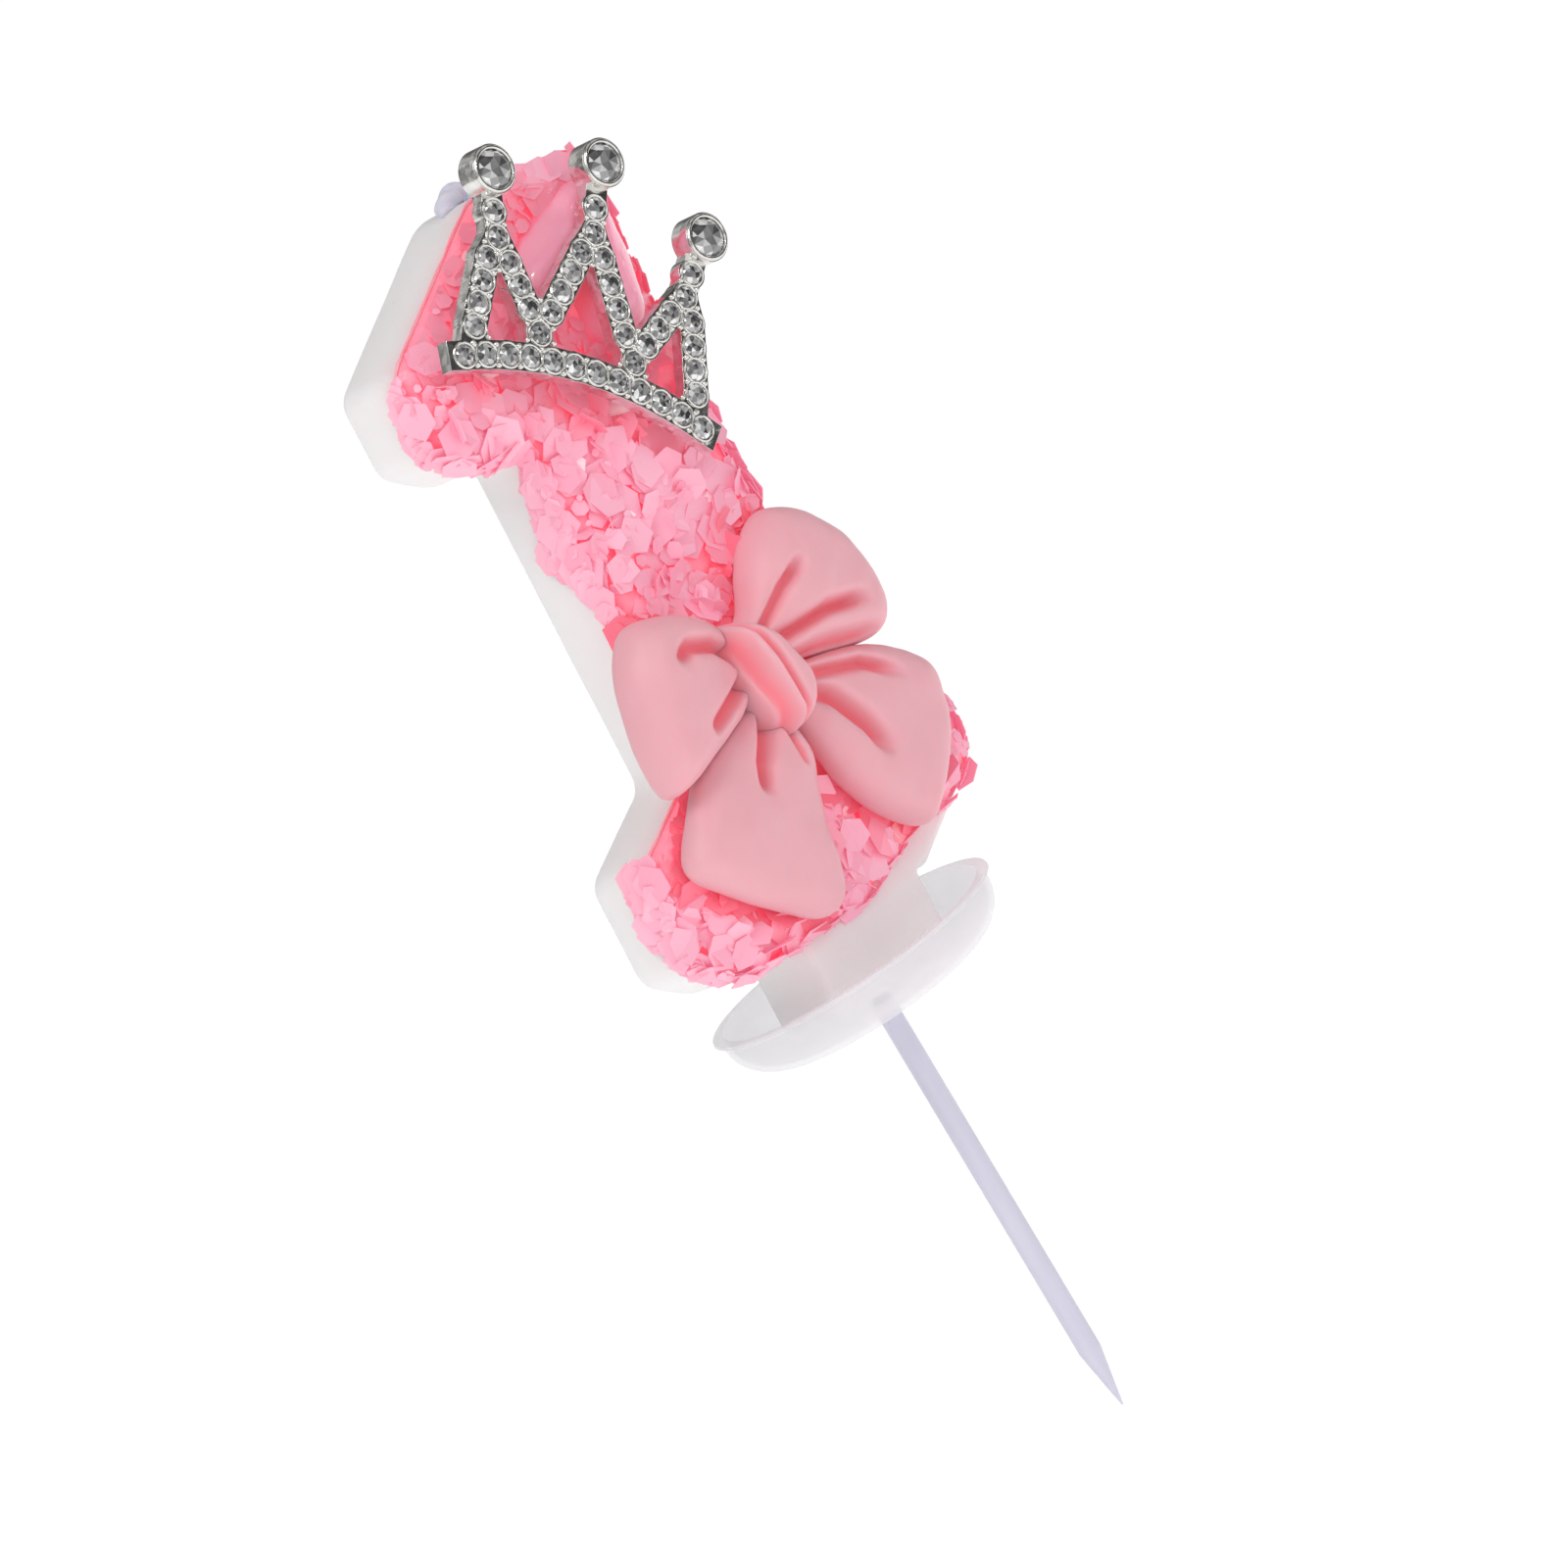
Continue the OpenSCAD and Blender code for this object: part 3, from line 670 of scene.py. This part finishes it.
def scatter(rng, count, low, high, wall_share, raised):
    """Places, normals and radii of flakes: most over the face, the rest down the side walls."""

    def drawn(n):
        return np.stack([rng.uniform(-19, 19, n), rng.uniform(FOOT_Z - 0.6, TOP_Z + 0.2, n)], -1)

    radii = rng.uniform(low, high, count)
    ring = spaced(rounded(coat_corners, EDGE_CUT), 300)
    a, b = ring, np.roll(ring, -1, 0)
    side_out = outward(ring)
    on_wall = rng.random(count) < wall_share
    # Over the face, drawn again until each lies on it
    plan = drawn(count)
    for _ in range(14):
        gap, side = edge_gap(plan, ring)
        x_out, z_out = side_out[side].T
        hold = np.clip(-x_out, 0, 1) + 3.0 * np.clip(x_out, 0, 1) * np.clip(-z_out, 0, 1)
        bad = gap < (0.2 + 0.6 * hold) * radii - 0.3 + 0.3 * (z_out > 0.3)
        plan[bad] = drawn(bad.sum())
    gap, side = edge_gap(plan, ring)
    lean_out = (1 - np.clip(gap / 2.4, 0, 1)) ** 1.6
    normal = stood(lean_out[:, None] * side_out[side], 1.0)
    depth = bed_depth(np.clip(gap, 0, None), plan) + rng.random(count) * 0.55
    # Down the walls, as far back as the glue has run
    share = np.cumsum(run_back(ring, side_out) + 0.15)
    edge = np.searchsorted(share, rng.random(count) * share[-1])
    t = rng.random(count)[:, None]
    wall_plan = a[edge] * (1 - t) + b[edge] * t
    back = run_back(wall_plan, side_out[edge])
    wall_depth = HALF_T + 0.5 - rng.random(count) ** 0.8 * np.maximum(back + 0.5 - 0.75 * radii, 0.3)
    wall_normal = stood(side_out[edge], 0.3)
    keep = ~on_wall | (back > 0.4)
    wall_plan = wall_plan + rng.uniform(0.22, 0.55, count)[:, None] * side_out[edge]
    plan = np.where(on_wall[:, None], wall_plan, plan)
    depth = np.where(on_wall, wall_depth, depth)
    normal = np.where(on_wall[:, None], wall_normal, normal)
    # Most lie nearly flat; in patches some are raised or stand on edge
    patch = np.clip(0.5 + 1.1 * waves(plan, 10.0, 17), 0, 1)
    kind = rng.random(count) / (0.35 + 1.3 * patch)
    tilt = np.where(kind > raised, 0.13, np.where(kind > raised * 0.35, 0.5, 1.2))
    tilt = tilt * np.abs(rng.normal(1, 0.4, count))
    tilt = np.where(on_wall, np.minimum(tilt, 0.3), tilt)
    depth = depth + np.where(on_wall, 0, np.minimum(tilt, 0.9) * 0.35)
    normal = unit(unit(normal) + tilt[:, None] * unit(rng.normal(size=(count, 3))))
    centres = stood(plan, depth)
    # Clear of the heart
    local = in_plan(plan, HEART_X, HEART_Z, CROWN_TURN)
    clear = keep & (edge_gap(local, heart_outline(60))[0] < -0.3 * radii)
    return centres[clear], normal[clear], radii[clear]


def painted_shade(plan):
    """Painted shade close under the bow and the crown, deep where light would come only off other pinks: 1 to
    0.
    """
    under_bow = in_plan(plan, BOW_X, BOW_Z, BOW_TURN)
    light = np.ones(len(plan))
    for part in LOBES.values():
        light *= 1 - 0.75 * smooth((edge_gap(under_bow, closed_curve(part["knots"], 50))[0] + 1.8) / 2.0)
    under_crown = in_plan(plan, CROWN_X, CROWN_Z, CROWN_TURN)
    hull = np.array([[-13, -2], [-11, SIDE_H], [0, MIDDLE_H], [11, SIDE_H], [13, -2]])
    return np.maximum(1 - light, 0.4 * smooth((edge_gap(under_crown, hull)[0] + 1.0) / 2.5))


def make_flakes(name, node, count, low, high, seed, finish, wall_share=0.2, raised=0.25):
    """One size of flakes, each with its own tint, which drifts a little from place to place."""
    rng = np.random.default_rng(seed)
    centres, normals, radii = scatter(rng, count, low, high, wall_share, raised)
    points, faces = flake_plates(centres, normals, radii, rng)
    tint = 0.45 + 0.3 * rng.normal(size=len(centres)) + 0.25 * waves(centres, 12.0, 18)
    tint = np.clip(tint + 0.5 * np.clip(centres[:, 1] + HALF_T + 0.3, 0, 1), 0, 1)
    slot = "pearl_flake" if "pearl" in name else "pink_flake"
    # Each flake also carries the painted shade under the bow and the crown
    make(name, leaned(points), faces, slot, [node], finish, 20.0, {
        "tint": np.repeat(tint, 12), "painted_shade": np.repeat(painted_shade(centres[:, [0, 2]]), 12)})


# ---- heart and bow ----


def crease_gap(plan, knots):
    """Distance from a line through knots, and how far along it the nearest place is, from 0 to 1."""
    knots = np.asarray(knots, float)
    side = np.diff(knots, axis=0)
    length = np.linalg.norm(side, axis=1)
    run = np.concatenate([[0], np.cumsum(length)])
    t = np.clip(np.einsum("...sk,sk->...s", plan[..., None, :] - knots[:-1], side) / length**2, 0, 1)
    away = np.linalg.norm(plan[..., None, :] - (knots[:-1] + t[..., None] * side), axis=-1)
    nearest = away.argmin(-1)
    along = (run[:-1] + t * length) / run[-1]
    return away.min(-1), np.take_along_axis(along, nearest[..., None], -1)[..., 0]


def smooth(t):
    """An even rise from 0 to 1 that starts and ends level."""
    t = np.clip(t, 0, 1)
    return t * t * (3 - 2 * t)


def puffed(outline, centre, thickness, roll, crown, creases, out, pinch=None, power=2.2, belly=1.4, tuck=1.1):
    """A puffed casting with a flat back. Rays run from its middle to its outline, which is its widest,
    belly mm up. Below that it tucks in by a quarter circle. Above, its height rises over the first roll mm
    in from the edge as a quarter of a superellipse, then by crown mm to the middle. Each crease takes a
    bell-shaped valley out of it. Returns rings from back to middle, and each point's depth in a crease."""
    s = np.sin(np.linspace(np.pi / 2, 0, out))[:, None]
    arm = outline[None] - centre
    plan = centre + s[..., None] * arm
    edge = (1 - s) * np.linalg.norm(arm, axis=-1)
    e = np.clip(edge / roll, 0, 1)
    height = (thickness - crown - belly) * (1 - (1 - e) ** power) ** (1 / power) + crown * (1 - s**2) ** 1.2
    if pinch is not None:
        near, keep, reach = pinch
        height = height * (keep + (1 - keep) * smooth(np.linalg.norm(plan - near, axis=-1) / reach))
    hollow = np.zeros(height.shape)
    for knots, depth, width in creases:
        gap, t = crease_gap(plan, knots)
        valley = np.exp(-((gap / width) ** 2)) * smooth(t / 0.3 + 0.12)
        height = height - depth * valley
        hollow = np.maximum(hollow, valley)
    height = belly + np.maximum(height, 0.0) - 0.6 * np.clip(-height, 0, 1.4)
    rings = np.concatenate([plan, height[..., None]], -1)[:-1]
    a = np.linspace(0, np.pi / 2, 6)[:-1, None]
    inward = unit(centre - outline)[None] * (tuck * (1 - np.sin(a)))[..., None]
    rise = np.broadcast_to(belly * (1 - np.cos(a)), inward.shape[:2])
    under = np.concatenate([outline[None] + inward, rise[..., None]], -1)
    hollow = np.concatenate([np.zeros((5, len(outline))), hollow[:-1]])
    return np.concatenate([under, rings]), hollow


def make_heart(finish):
    """Two lobes and a point, puffed, with a groove from the notch towards the point."""
    outline = heart_outline(200)
    groove = [([(0.0, -3.4), (0.0, -13.4)], 1.5, 1.0)]
    rings, hollow = puffed(outline, np.array([0.0, -8.6]), HEART_T, 3.2, 0.8, groove, 40,
                           power=2.0, belly=0.6, tuck=0.4)
    body = skin(on_face(rings, HEART_X, HEART_Z, HALF_T, CROWN_TURN))
    make("resin_heart", *together([body]), "heart", ["heart"], finish, 60.0, {"crease": hollow})


LOBES = {
    "left_tail": dict(
        knots=[(-1.0, -1.2), (-4.6, -0.9), (-8.6, -1.0), (-11.9, -1.8), (-14.6, -3.4), (-16.9, -4.9),
               (-18.1, -6.2), (-18.1, -7.7), (-16.8, -9.9), (-14.9, -12.7), (-12.5, -15.7), (-10.8, -17.5),
               (-9.1, -18.1), (-7.7, -17.6), (-6.6, -16.1), (-5.2, -13.2), (-3.3, -10.4), (-1.8, -8.1),
               (-1.0, -6.2), (-0.8, -3.6)],
        centre=(-8.4, -8.6), thickness=4.2, roll=2.4, crown=0.7,
        creases=[([(-8.8, -6.7), (-6.9, -4.6), (-3.4, -2.6)], 2.0, 0.65),
                 ([(-3.5, -7.6), (-2.1, -3.8)], 0.9, 0.4)]),
    "right_tail": dict(
        knots=[(1.6, -1.2), (5.0, -2.0), (8.6, -3.6), (10.9, -5.1), (12.6, -6.9), (13.8, -8.8),
               (14.1, -10.4), (13.2, -12.9), (11.7, -14.9), (9.7, -16.5), (7.5, -17.9), (5.4, -18.9),
               (3.9, -19.1), (2.3, -17.6), (0.7, -14.8), (-0.2, -11.4), (-0.3, -8.2), (-0.4, -5.4),
               (0.0, -3.0)],
        centre=(6.6, -9.8), thickness=4.5, roll=2.4, crown=0.7,
        creases=[([(10.2, -8.3), (7.8, -5.2), (2.5, -2.2)], 1.9, 0.6),
                 ([(4.1, -12.4), (3.9, -8.7), (2.9, -4.9), (1.7, -3.0)], 2.2, 0.7)]),
    "left_loop": dict(
        knots=[(-7.8, 11.3), (-10.2, 10.3), (-12.0, 8.5), (-13.4, 6.1), (-14.6, 3.5), (-15.2, 1.2),
               (-15.4, -0.5), (-14.9, -1.4), (-12.6, -1.6), (-10.0, -1.4), (-7.4, -1.2), (-4.4, -0.9),
               (-2.0, 0.2), (-1.3, 2.6), (-1.0, 5.2), (-2.3, 7.8), (-4.6, 9.9)],
        centre=(-8.4, 4.4), thickness=5.5, roll=2.8, crown=0.8,
        creases=[([(-8.8, 6.9), (-6.4, 7.1), (-4.1, 5.6), (-2.5, 3.4)], 1.9, 0.65),
                 ([(-10.0, 0.7), (-6.4, 1.2), (-3.0, 1.3)], 1.8, 0.6)]),
    "right_loop": dict(
        knots=[(-0.2, 3.2), (2.6, 5.2), (4.5, 7.1), (6.3, 8.5), (8.6, 9.5), (10.6, 9.6), (12.6, 8.2),
               (14.1, 5.9), (15.2, 2.9), (15.1, 0.0), (14.5, -2.4), (13.6, -3.9), (12.3, -4.8),
               (10.4, -4.5), (6.6, -2.7), (3.4, -1.2), (0.6, -0.6)],
        centre=(8.6, 2.4), thickness=5.5, roll=2.8, crown=0.8,
        creases=[([(8.6, 5.3), (5.4, 4.6), (1.7, 3.0)], 1.6, 0.55),
                 ([(11.9, -1.4), (7.4, 0.6), (2.1, 1.6)], 2.0, 0.6),
                 ([(11.2, -4.2), (6.1, -1.7), (2.2, -0.3)], 1.5, 0.5)]),
}


def make_bow(finish):
    """Four puffed lobes pinched in towards a knot with ridges along it."""
    shells = []
    for part in LOBES.values():
        outline = closed_curve(part["knots"], 230)
        rings, hollow = puffed(outline, np.array(part["centre"]), part["thickness"], part["roll"],
                               part["crown"], part["creases"], 54, (np.array([-0.6, 0.4]), 0.5, 8.0))
        rings[..., 2] += 0.12 * waves(rings[..., :2], 7.0, 21) * np.clip(rings[..., 2] / 2, 0, 1)
        shells.append((rings, hollow))
    knot = closed_curve([(-1.6, 6.0), (0.2, 5.1), (1.6, 2.9), (2.1, -0.2), (1.5, -3.0), (-0.3, -4.7),
                         (-2.4, -4.9), (-3.6, -3.3), (-3.7, -0.4), (-3.3, 2.4), (-2.8, 4.9)], 170)
    ridges = [([(-2.3, 9.0), (-2.6, 1.0), (-3.0, -4.6)], 1.5, 0.5),
              ([(-1.0, 8.4), (-0.9, 1.5), (-1.7, -4.4)], 0.8, 0.32)]
    shells.append(puffed(knot, np.array([-0.7, 0.5]), 6.9, 2.2, 0.4, ridges, 50, power=2.0, tuck=0.3))
    skins = [skin(on_face(rings, BOW_X, BOW_Z, BOW_BACK, BOW_TURN)) for rings, _ in shells]
    crease = np.concatenate([hollow.ravel() for _, hollow in shells])
    make("resin_bow", *together(skins), "bow", ["bow"], finish, 60.0, {"crease": crease})


# ---- crown ----


def crown_layout():
    """Stone places in the crown's own plan: a row on an arc, and spikes that meet at two junctions."""
    k = np.arange(-6, 6)
    angle = (k + 0.5) * PITCH / BASE_ARC_R
    # The row hangs from its own highest chord, so its ends lie on the base line
    row = BASE_ARC_R * np.stack([np.sin(angle), np.cos(angle) - np.cos(angle[-1])], -1)
    junction = np.array([2.15, 1.76]) * PITCH
    mid, side = np.array([0, MIDDLE_H]), np.array([4.88 * PITCH, SIDE_H])
    middle_head = np.linspace((0, MIDDLE_H - 3.78), (0, MIDDLE_H - 3.78 - PITCH), 2)
    middle_leg = np.linspace(junction + np.array([-0.47, 0.98]) * PITCH, (0.49 * PITCH, MIDDLE_H - 7.96), 4)
    head = np.linspace(side - (0.78, 3.25), side - (1.27, 5.4), 2)
    inner = np.linspace(side - (2.64, 7.28), junction + np.array([0.53, 0.85]) * PITCH, 3)
    outer = np.linspace(side - (0.43, 7.47), row[-1] + (-0.75, 2.8), 4)
    flip = np.array([-1, 1])
    side_stones = np.vstack([head, inner, outer, junction[None]])
    return {
        "row": row, "right": side_stones, "left": side_stones * flip,
        "middle": np.vstack([middle_head, middle_leg, middle_leg * flip]),
        "finials": np.array([side * flip, mid, side]),
    }


def cut_stone(radius):
    """A round cut stone: an eight-sided table, star, kite and girdle facets under it, and a point behind."""
    h = 0.42 * radius

    def ring(count, reach, height, turn=0.0):
        a = (np.arange(count) + turn) * 2 * np.pi / count
        return np.stack([reach * radius * np.cos(a), reach * radius * np.sin(a), np.full(count, height)], -1)

    points = np.vstack([ring(8, 0.56, h), ring(8, 0.80, 0.55 * h, 0.5), ring(16, 1.0, 0.0),
                        ring(16, 1.0, -0.1), [[0, 0, -0.66 * radius], [0, 0, 1.04 * h]]])
    faces = []
    for k in range(8):
        nxt, before = (k + 1) % 8, (k - 1) % 8
        faces += [[49, k, nxt], [k, 8 + k, nxt], [k, 8 + before, 16 + 2 * k, 8 + k],
                  [8 + k, 16 + 2 * k, 16 + 2 * k + 1], [8 + k, 16 + 2 * k + 1, 16 + (2 * k + 2) % 16]]
    for k in range(16):
        nxt = (k + 1) % 16
        faces += [[16 + k, 32 + k, 32 + nxt, 16 + nxt], [32 + k, 48, 32 + nxt]]
    return points, faces


def lathe(profile, count=64):
    """A closed profile of (radius, height) carried round the axis."""
    a = np.linspace(0, 2 * np.pi, count, endpoint=False)
    profile = np.asarray(profile, float)
    r, z = profile[:, 0][:, None], profile[:, 1][:, None]
    rings = np.stack([r * np.cos(a), r * np.sin(a), z + 0 * a], -1)
    return skin(np.concatenate([rings, rings[:1]]), False, False)


def ring_section(r, z, tube, steps=8):
    """A small round section at radius r and height z, for a ring of wire."""
    a = np.linspace(0, 2 * np.pi, steps, endpoint=False)
    return np.stack([r + tube * np.cos(a), z + tube * np.sin(a)], -1)


def welded(points, faces):
    """Joins the first and last ring of a lathe, which lie on each other."""
    keys = np.round(points * 1e5).astype(np.int64)
    _, first, back = np.unique(keys, axis=0, return_index=True, return_inverse=True)
    back = np.asarray(back).ravel()
    return points[first], [[int(back[v]) for v in f] for f in faces]


def at_spots(points, spots, height=0.0):
    """One skin's points moved to each spot of the crown's plan, and stood on the crown."""
    return on_crown(points + np.column_stack([spots, np.full(len(spots), height)])[:, None])


def make_crown(silver, glass):
    """The cast plate, rims of round wire on it, grains between them, and a cut stone in each rim."""
    layout = crown_layout()
    small = np.vstack([layout[k] for k in ("row", "left", "middle", "right")])
    # The cast plate is the CAD's own, with its edges eased
    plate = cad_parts["crown_frame"].data.copy()
    plate.name = "crown_plate"
    bm = bmesh.new()
    bm.from_mesh(plate)
    bmesh.ops.remove_doubles(bm, verts=bm.verts, dist=1e-6)
    bmesh.ops.dissolve_limit(bm, angle_limit=np.radians(1), verts=bm.verts, edges=bm.edges)
    bm.to_mesh(plate)
    bm.free()
    plate.materials.clear()
    plate.materials.append(silver.material)
    plate.polygons.foreach_set("use_smooth", np.ones(len(plate.polygons), bool))
    piece = link("crown_plate", plate)
    bevel = piece.modifiers.new("eased_edges", "BEVEL")
    bevel.width, bevel.segments, bevel.limit_method, bevel.angle_limit = 0.00013, 2, "ANGLE", np.radians(50)
    bevel.use_clamp_overlap = True
    piece.modifiers.new("even_normals", "WEIGHTED_NORMAL").keep_sharp = True
    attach(piece, "root")
    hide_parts("crown_frame")
    # Rims round the stones, and grains between them
    points, faces = welded(*lathe(ring_section(STONE_R + 0.1, CROWN_T, 0.13), 28))
    shells = [repeated(points, faces, at_spots(points, small))]
    points, faces = welded(*lathe(ring_section(FINIAL_STONE_R + 0.2, FINIAL_T, 0.22, 12), 56))
    shells.append(repeated(points, faces, at_spots(points, layout["finials"])))
    shells.append(grains(small))
    make("crown_rims", *together(shells), "crown", [], silver, 40.0)
    # Stones
    rows = [(f"{name}_cut_stones", f"{name}_stones", spots, STONE_R, CROWN_T) for name, spots in (
        ("base_row", layout["row"]), ("left_spike", layout["left"]),
        ("middle_spike", layout["middle"]), ("right_spike", layout["right"]))]
    rows += [(f"{name}_finial_cut_stone", f"finial_stone_{name}", spot[None], FINIAL_STONE_R, FINIAL_T)
             for name, spot in zip(("left", "middle", "right"), layout["finials"])]
    for name, node, spots, radius, out in rows:
        points, faces = cut_stone(radius)
        rng = np.random.default_rng(len(spots) + int(10 * radius))
        turn = rng.uniform(0, 0.8, len(spots))[:, None]
        x, y = points[:, 0], points[:, 1]
        turned = np.stack([x * np.cos(turn) - y * np.sin(turn), x * np.sin(turn) + y * np.cos(turn),
                           np.broadcast_to(points[:, 2], (len(spots), len(points)))], -1)
        moved = at_spots(turned, spots, out + 0.02)
        # Each facet's painted reflection, from dark to bright
        flash = rng.random((len(spots), len(faces))) ** 1.3
        make(name, *repeated(points, faces, moved), "stone", [node], glass, 1.0, {"flash": flash})


def grains(spots):
    """Beads of metal: two for each pair of neighbouring stones, either side of the line between them."""
    gap = np.linalg.norm(spots[:, None] - spots[None], axis=-1)
    a, b = np.nonzero(np.triu((gap > 0.5) & (gap < 2.75), 1))
    middle, along = (spots[a] + spots[b]) / 2, unit(spots[b] - spots[a])
    across = np.stack([-along[:, 1], along[:, 0]], -1)
    beads = np.vstack([middle + 0.86 * across, middle - 0.86 * across])
    t, a = np.meshgrid(np.linspace(0.15, np.pi - 0.15, 6),
                       np.linspace(0, 2 * np.pi, 10, endpoint=False), indexing="ij")
    ball = 0.25 * np.stack([np.sin(t) * np.cos(a), np.sin(t) * np.sin(a), np.cos(t)], -1)
    points, faces = skin(ball)
    return repeated(points, faces, at_spots(points, beads, CROWN_T))


# ---- dish ----


def make_dish(finish):
    """A lathe: flat floor, wall as a quarter ellipse, and a thin lip turned out, one even thin wall."""
    wall, lip, hole = 0.5, 0.6, 0.8
    a = np.linspace(0, np.pi / 2, 18)
    reach, rise, edge_r = DISH_R - lip - DISH_FLAT_R, DISH_H - 1.0, DISH_R - lip
    outer = np.stack([DISH_FLAT_R + reach * np.sin(a), rise * (1 - np.cos(a))], -1)
    inner = np.stack([DISH_FLAT_R + (reach - wall) * np.sin(a), wall + (rise - wall) * (1 - np.cos(a))], -1)
    edge = np.array([[edge_r, DISH_H - 0.5], [DISH_R - 0.2, DISH_H - 0.42],
                     [DISH_R - 0.02, DISH_H - 0.25], [DISH_R - 0.1, DISH_H - 0.05],
                     [DISH_R - 0.35, DISH_H], [edge_r - wall, DISH_H - 0.05]])
    out = np.linspace(hole, DISH_FLAT_R - 0.4, 8)
    floor_out, floor_in = np.stack([out, np.zeros(8)], -1), np.stack([out[::-1], np.full(8, wall)], -1)
    profile = np.vstack([floor_out, outer, edge, inner[::-1], floor_in])
    points, faces = welded(*lathe(profile, 160))
    make("drip_saucer", *together([(in_dish(points), faces)]), "dish", ["drip_dish"], finish, 40.0)


# ---- stage, light and camera ----


def dress(node, finish):
    """Gives a CAD node its finish."""
    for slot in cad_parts[node].material_slots:
        slot.material = finish.material


def make_stage():
    """A wide pale floor under the point of the stake."""
    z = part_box("stake")[0].z
    corners = [(x * 12.0, y * 12.0, z) for x, y in ((-1, -1), (1, -1), (1, 1), (-1, 1))]
    mesh = bpy.data.meshes.new("floor")
    mesh.from_pydata(corners, [], [(0, 1, 2, 3)])
    pale = Finish("pale_floor", roughness=0.9, emission_color=(1, 1, 1, 1), emission_strength=0.86)
    pale.give("Base Color", pale.mix(pale.noise(400.0), (0.34, 0.34, 0.34), (0.36, 0.36, 0.36)))
    mesh.materials.append(pale.material)
    link("floor", mesh)


def lamp(name, size, power, at, aim):
    """A round lamp, size m across, turned to shine from at to aim."""
    light = bpy.data.lights.new(name, "AREA")
    light.shape, light.size, light.energy = "DISK", size, power
    at, aim = Vector(at), Vector(aim)
    turn = (at - aim).to_track_quat("Z", "Y").to_matrix().to_4x4()
    link(name, light).matrix_world = Matrix.Translation(at) @ turn


def make_light(view_from, right, up):
    """Grey surroundings, broad soft lamps, and a dark board that only the metal and stones reflect."""
    world = bpy.data.worlds.new("studio")
    world.use_nodes = True
    bpy.context.scene.world = world
    sky = Nodes(world.node_tree)
    patches = sky.node("TexNoise", None, {"Scale": 2.6})
    uneven = sky.node("MapRange", None, {0: patches, 1: 0.4, 2: 0.62, 3: 0.1, 4: 0.75})
    seen = sky.node("LightPath", output="Is Camera Ray")
    strength = sky.node("Mix", None, {0: seen, 2: uneven, 3: 1.0})
    ground = sky.tree.nodes["Background"]
    sky.tree.links.new(strength.socket, ground.inputs["Strength"])
    ground.inputs["Color"].default_value = (1, 1, 1, 1)
    aim = np.array([0, 0, 0.035])
    lamp("key", 0.5, 2.5, aim + 0.55 * view_from - 0.5 * right + 0.4 * up, aim)
    lamp("front", 0.6, 0.6, aim + 0.9 * view_from + 0.1 * right + 0.45 * up, aim)
    lamp("glint", 0.05, 0.22, aim + 0.5 * view_from + 0.18 * right + 0.42 * up, aim)
    board = bpy.data.meshes.new("dark_board")
    facing = np.array([-view_from[0], view_from[1], 0.1])
    across = unit(np.array([-facing[1], facing[0], 0]))
    middle = aim + 0.42 * facing
    rise = np.array([0, 0, 0.14])
    corners = [middle + 0.2 * i * across + rise * j for i, j in ((-1, -1), (1, -1), (1, 1), (-1, 1))]
    board.from_pydata([tuple(c) for c in corners], [], [(0, 1, 2, 3)])
    black = Finish("dark_cloth", roughness=1.0, specular_ior_level=0.0)
    black.give("Base Color", black.mix(black.noise(60.0), (0.01, 0.01, 0.01), (0.10, 0.10, 0.10)))
    board.materials.append(black.material)
    holder = link("dark_board", board)
    holder.visible_camera = holder.visible_diffuse = holder.visible_shadow = False


def make_camera():
    """A long lens at the display angle, rolled so that the candle leans across the frame."""
    az, el, roll = np.radians([39.0, 7.5, 30.8])
    view_from = np.array([-np.sin(az) * np.cos(el), -np.cos(az) * np.cos(el), np.sin(el)])
    right = np.array([np.cos(az), -np.sin(az), 0])
    up = np.cross(view_from, right)
    frame_right = np.cos(roll) * right - np.sin(roll) * up
    frame_up = np.cos(roll) * up + np.sin(roll) * right
    aim = (np.array([0, 0, 4.8]) + 2.237 * right + 14.848 * up) * MM
    away, width = 0.9, 130.08 * MM
    camera = bpy.data.cameras.new("camera")
    camera.sensor_width = 36.0
    camera.lens = 36.0 * away / width
    camera.clip_start, camera.clip_end = 0.05, 20.0
    holder = link("camera", camera)
    turn = Matrix(np.column_stack([frame_right, frame_up, view_from]).tolist())
    holder.matrix_world = Matrix.Translation(Vector(aim + away * view_from)) @ turn.to_4x4()
    bpy.context.scene.camera = holder
    return view_from, frame_right, frame_up


view_from, frame_right, frame_up = make_camera()
make_stage()
make_light(view_from, frame_right, frame_up)
bpy.context.scene.view_settings.view_transform = "Standard"

make_numeral(wax_finish())
make_wick(wick_finish())
make_bed(bed_finish())
# The third colour of each film is its painted glow
pink = film_finish("pink_film", (0.90, 0.50, 0.62), (0.85, 0.36, 0.48), (0.80, 0.20, 0.31), 0.38)
pearl = film_finish("pearl_film", (0.93, 0.86, 0.90), (0.95, 0.72, 0.80), (1.0, 0.5, 0.6), 0.2)
make_flakes("large_pink_flakes", "flakes_large", 720, 1.2, 2.0, 31, pink, 0.22)
make_flakes("medium_pink_flakes", "flakes_medium", 1150, 0.65, 1.1, 32, pink, 0.35, 0.35)
make_flakes("small_pink_flakes", "flakes_small", 1000, 0.3, 0.6, 33, pink, 0.6, 0.3)
make_flakes("pearl_flakes", "flakes_pearl", 46, 0.4, 1.1, 34, pearl, 0.1)
make_heart(heart_finish())
make_bow(bow_finish())
make_crown(silver_finish(), stone_finish())
make_dish(dish_finish())
glue = glue_finish()
dress("bow_glue", glue)
dress("crown_glue", glue)
dress("stake", stake_finish())
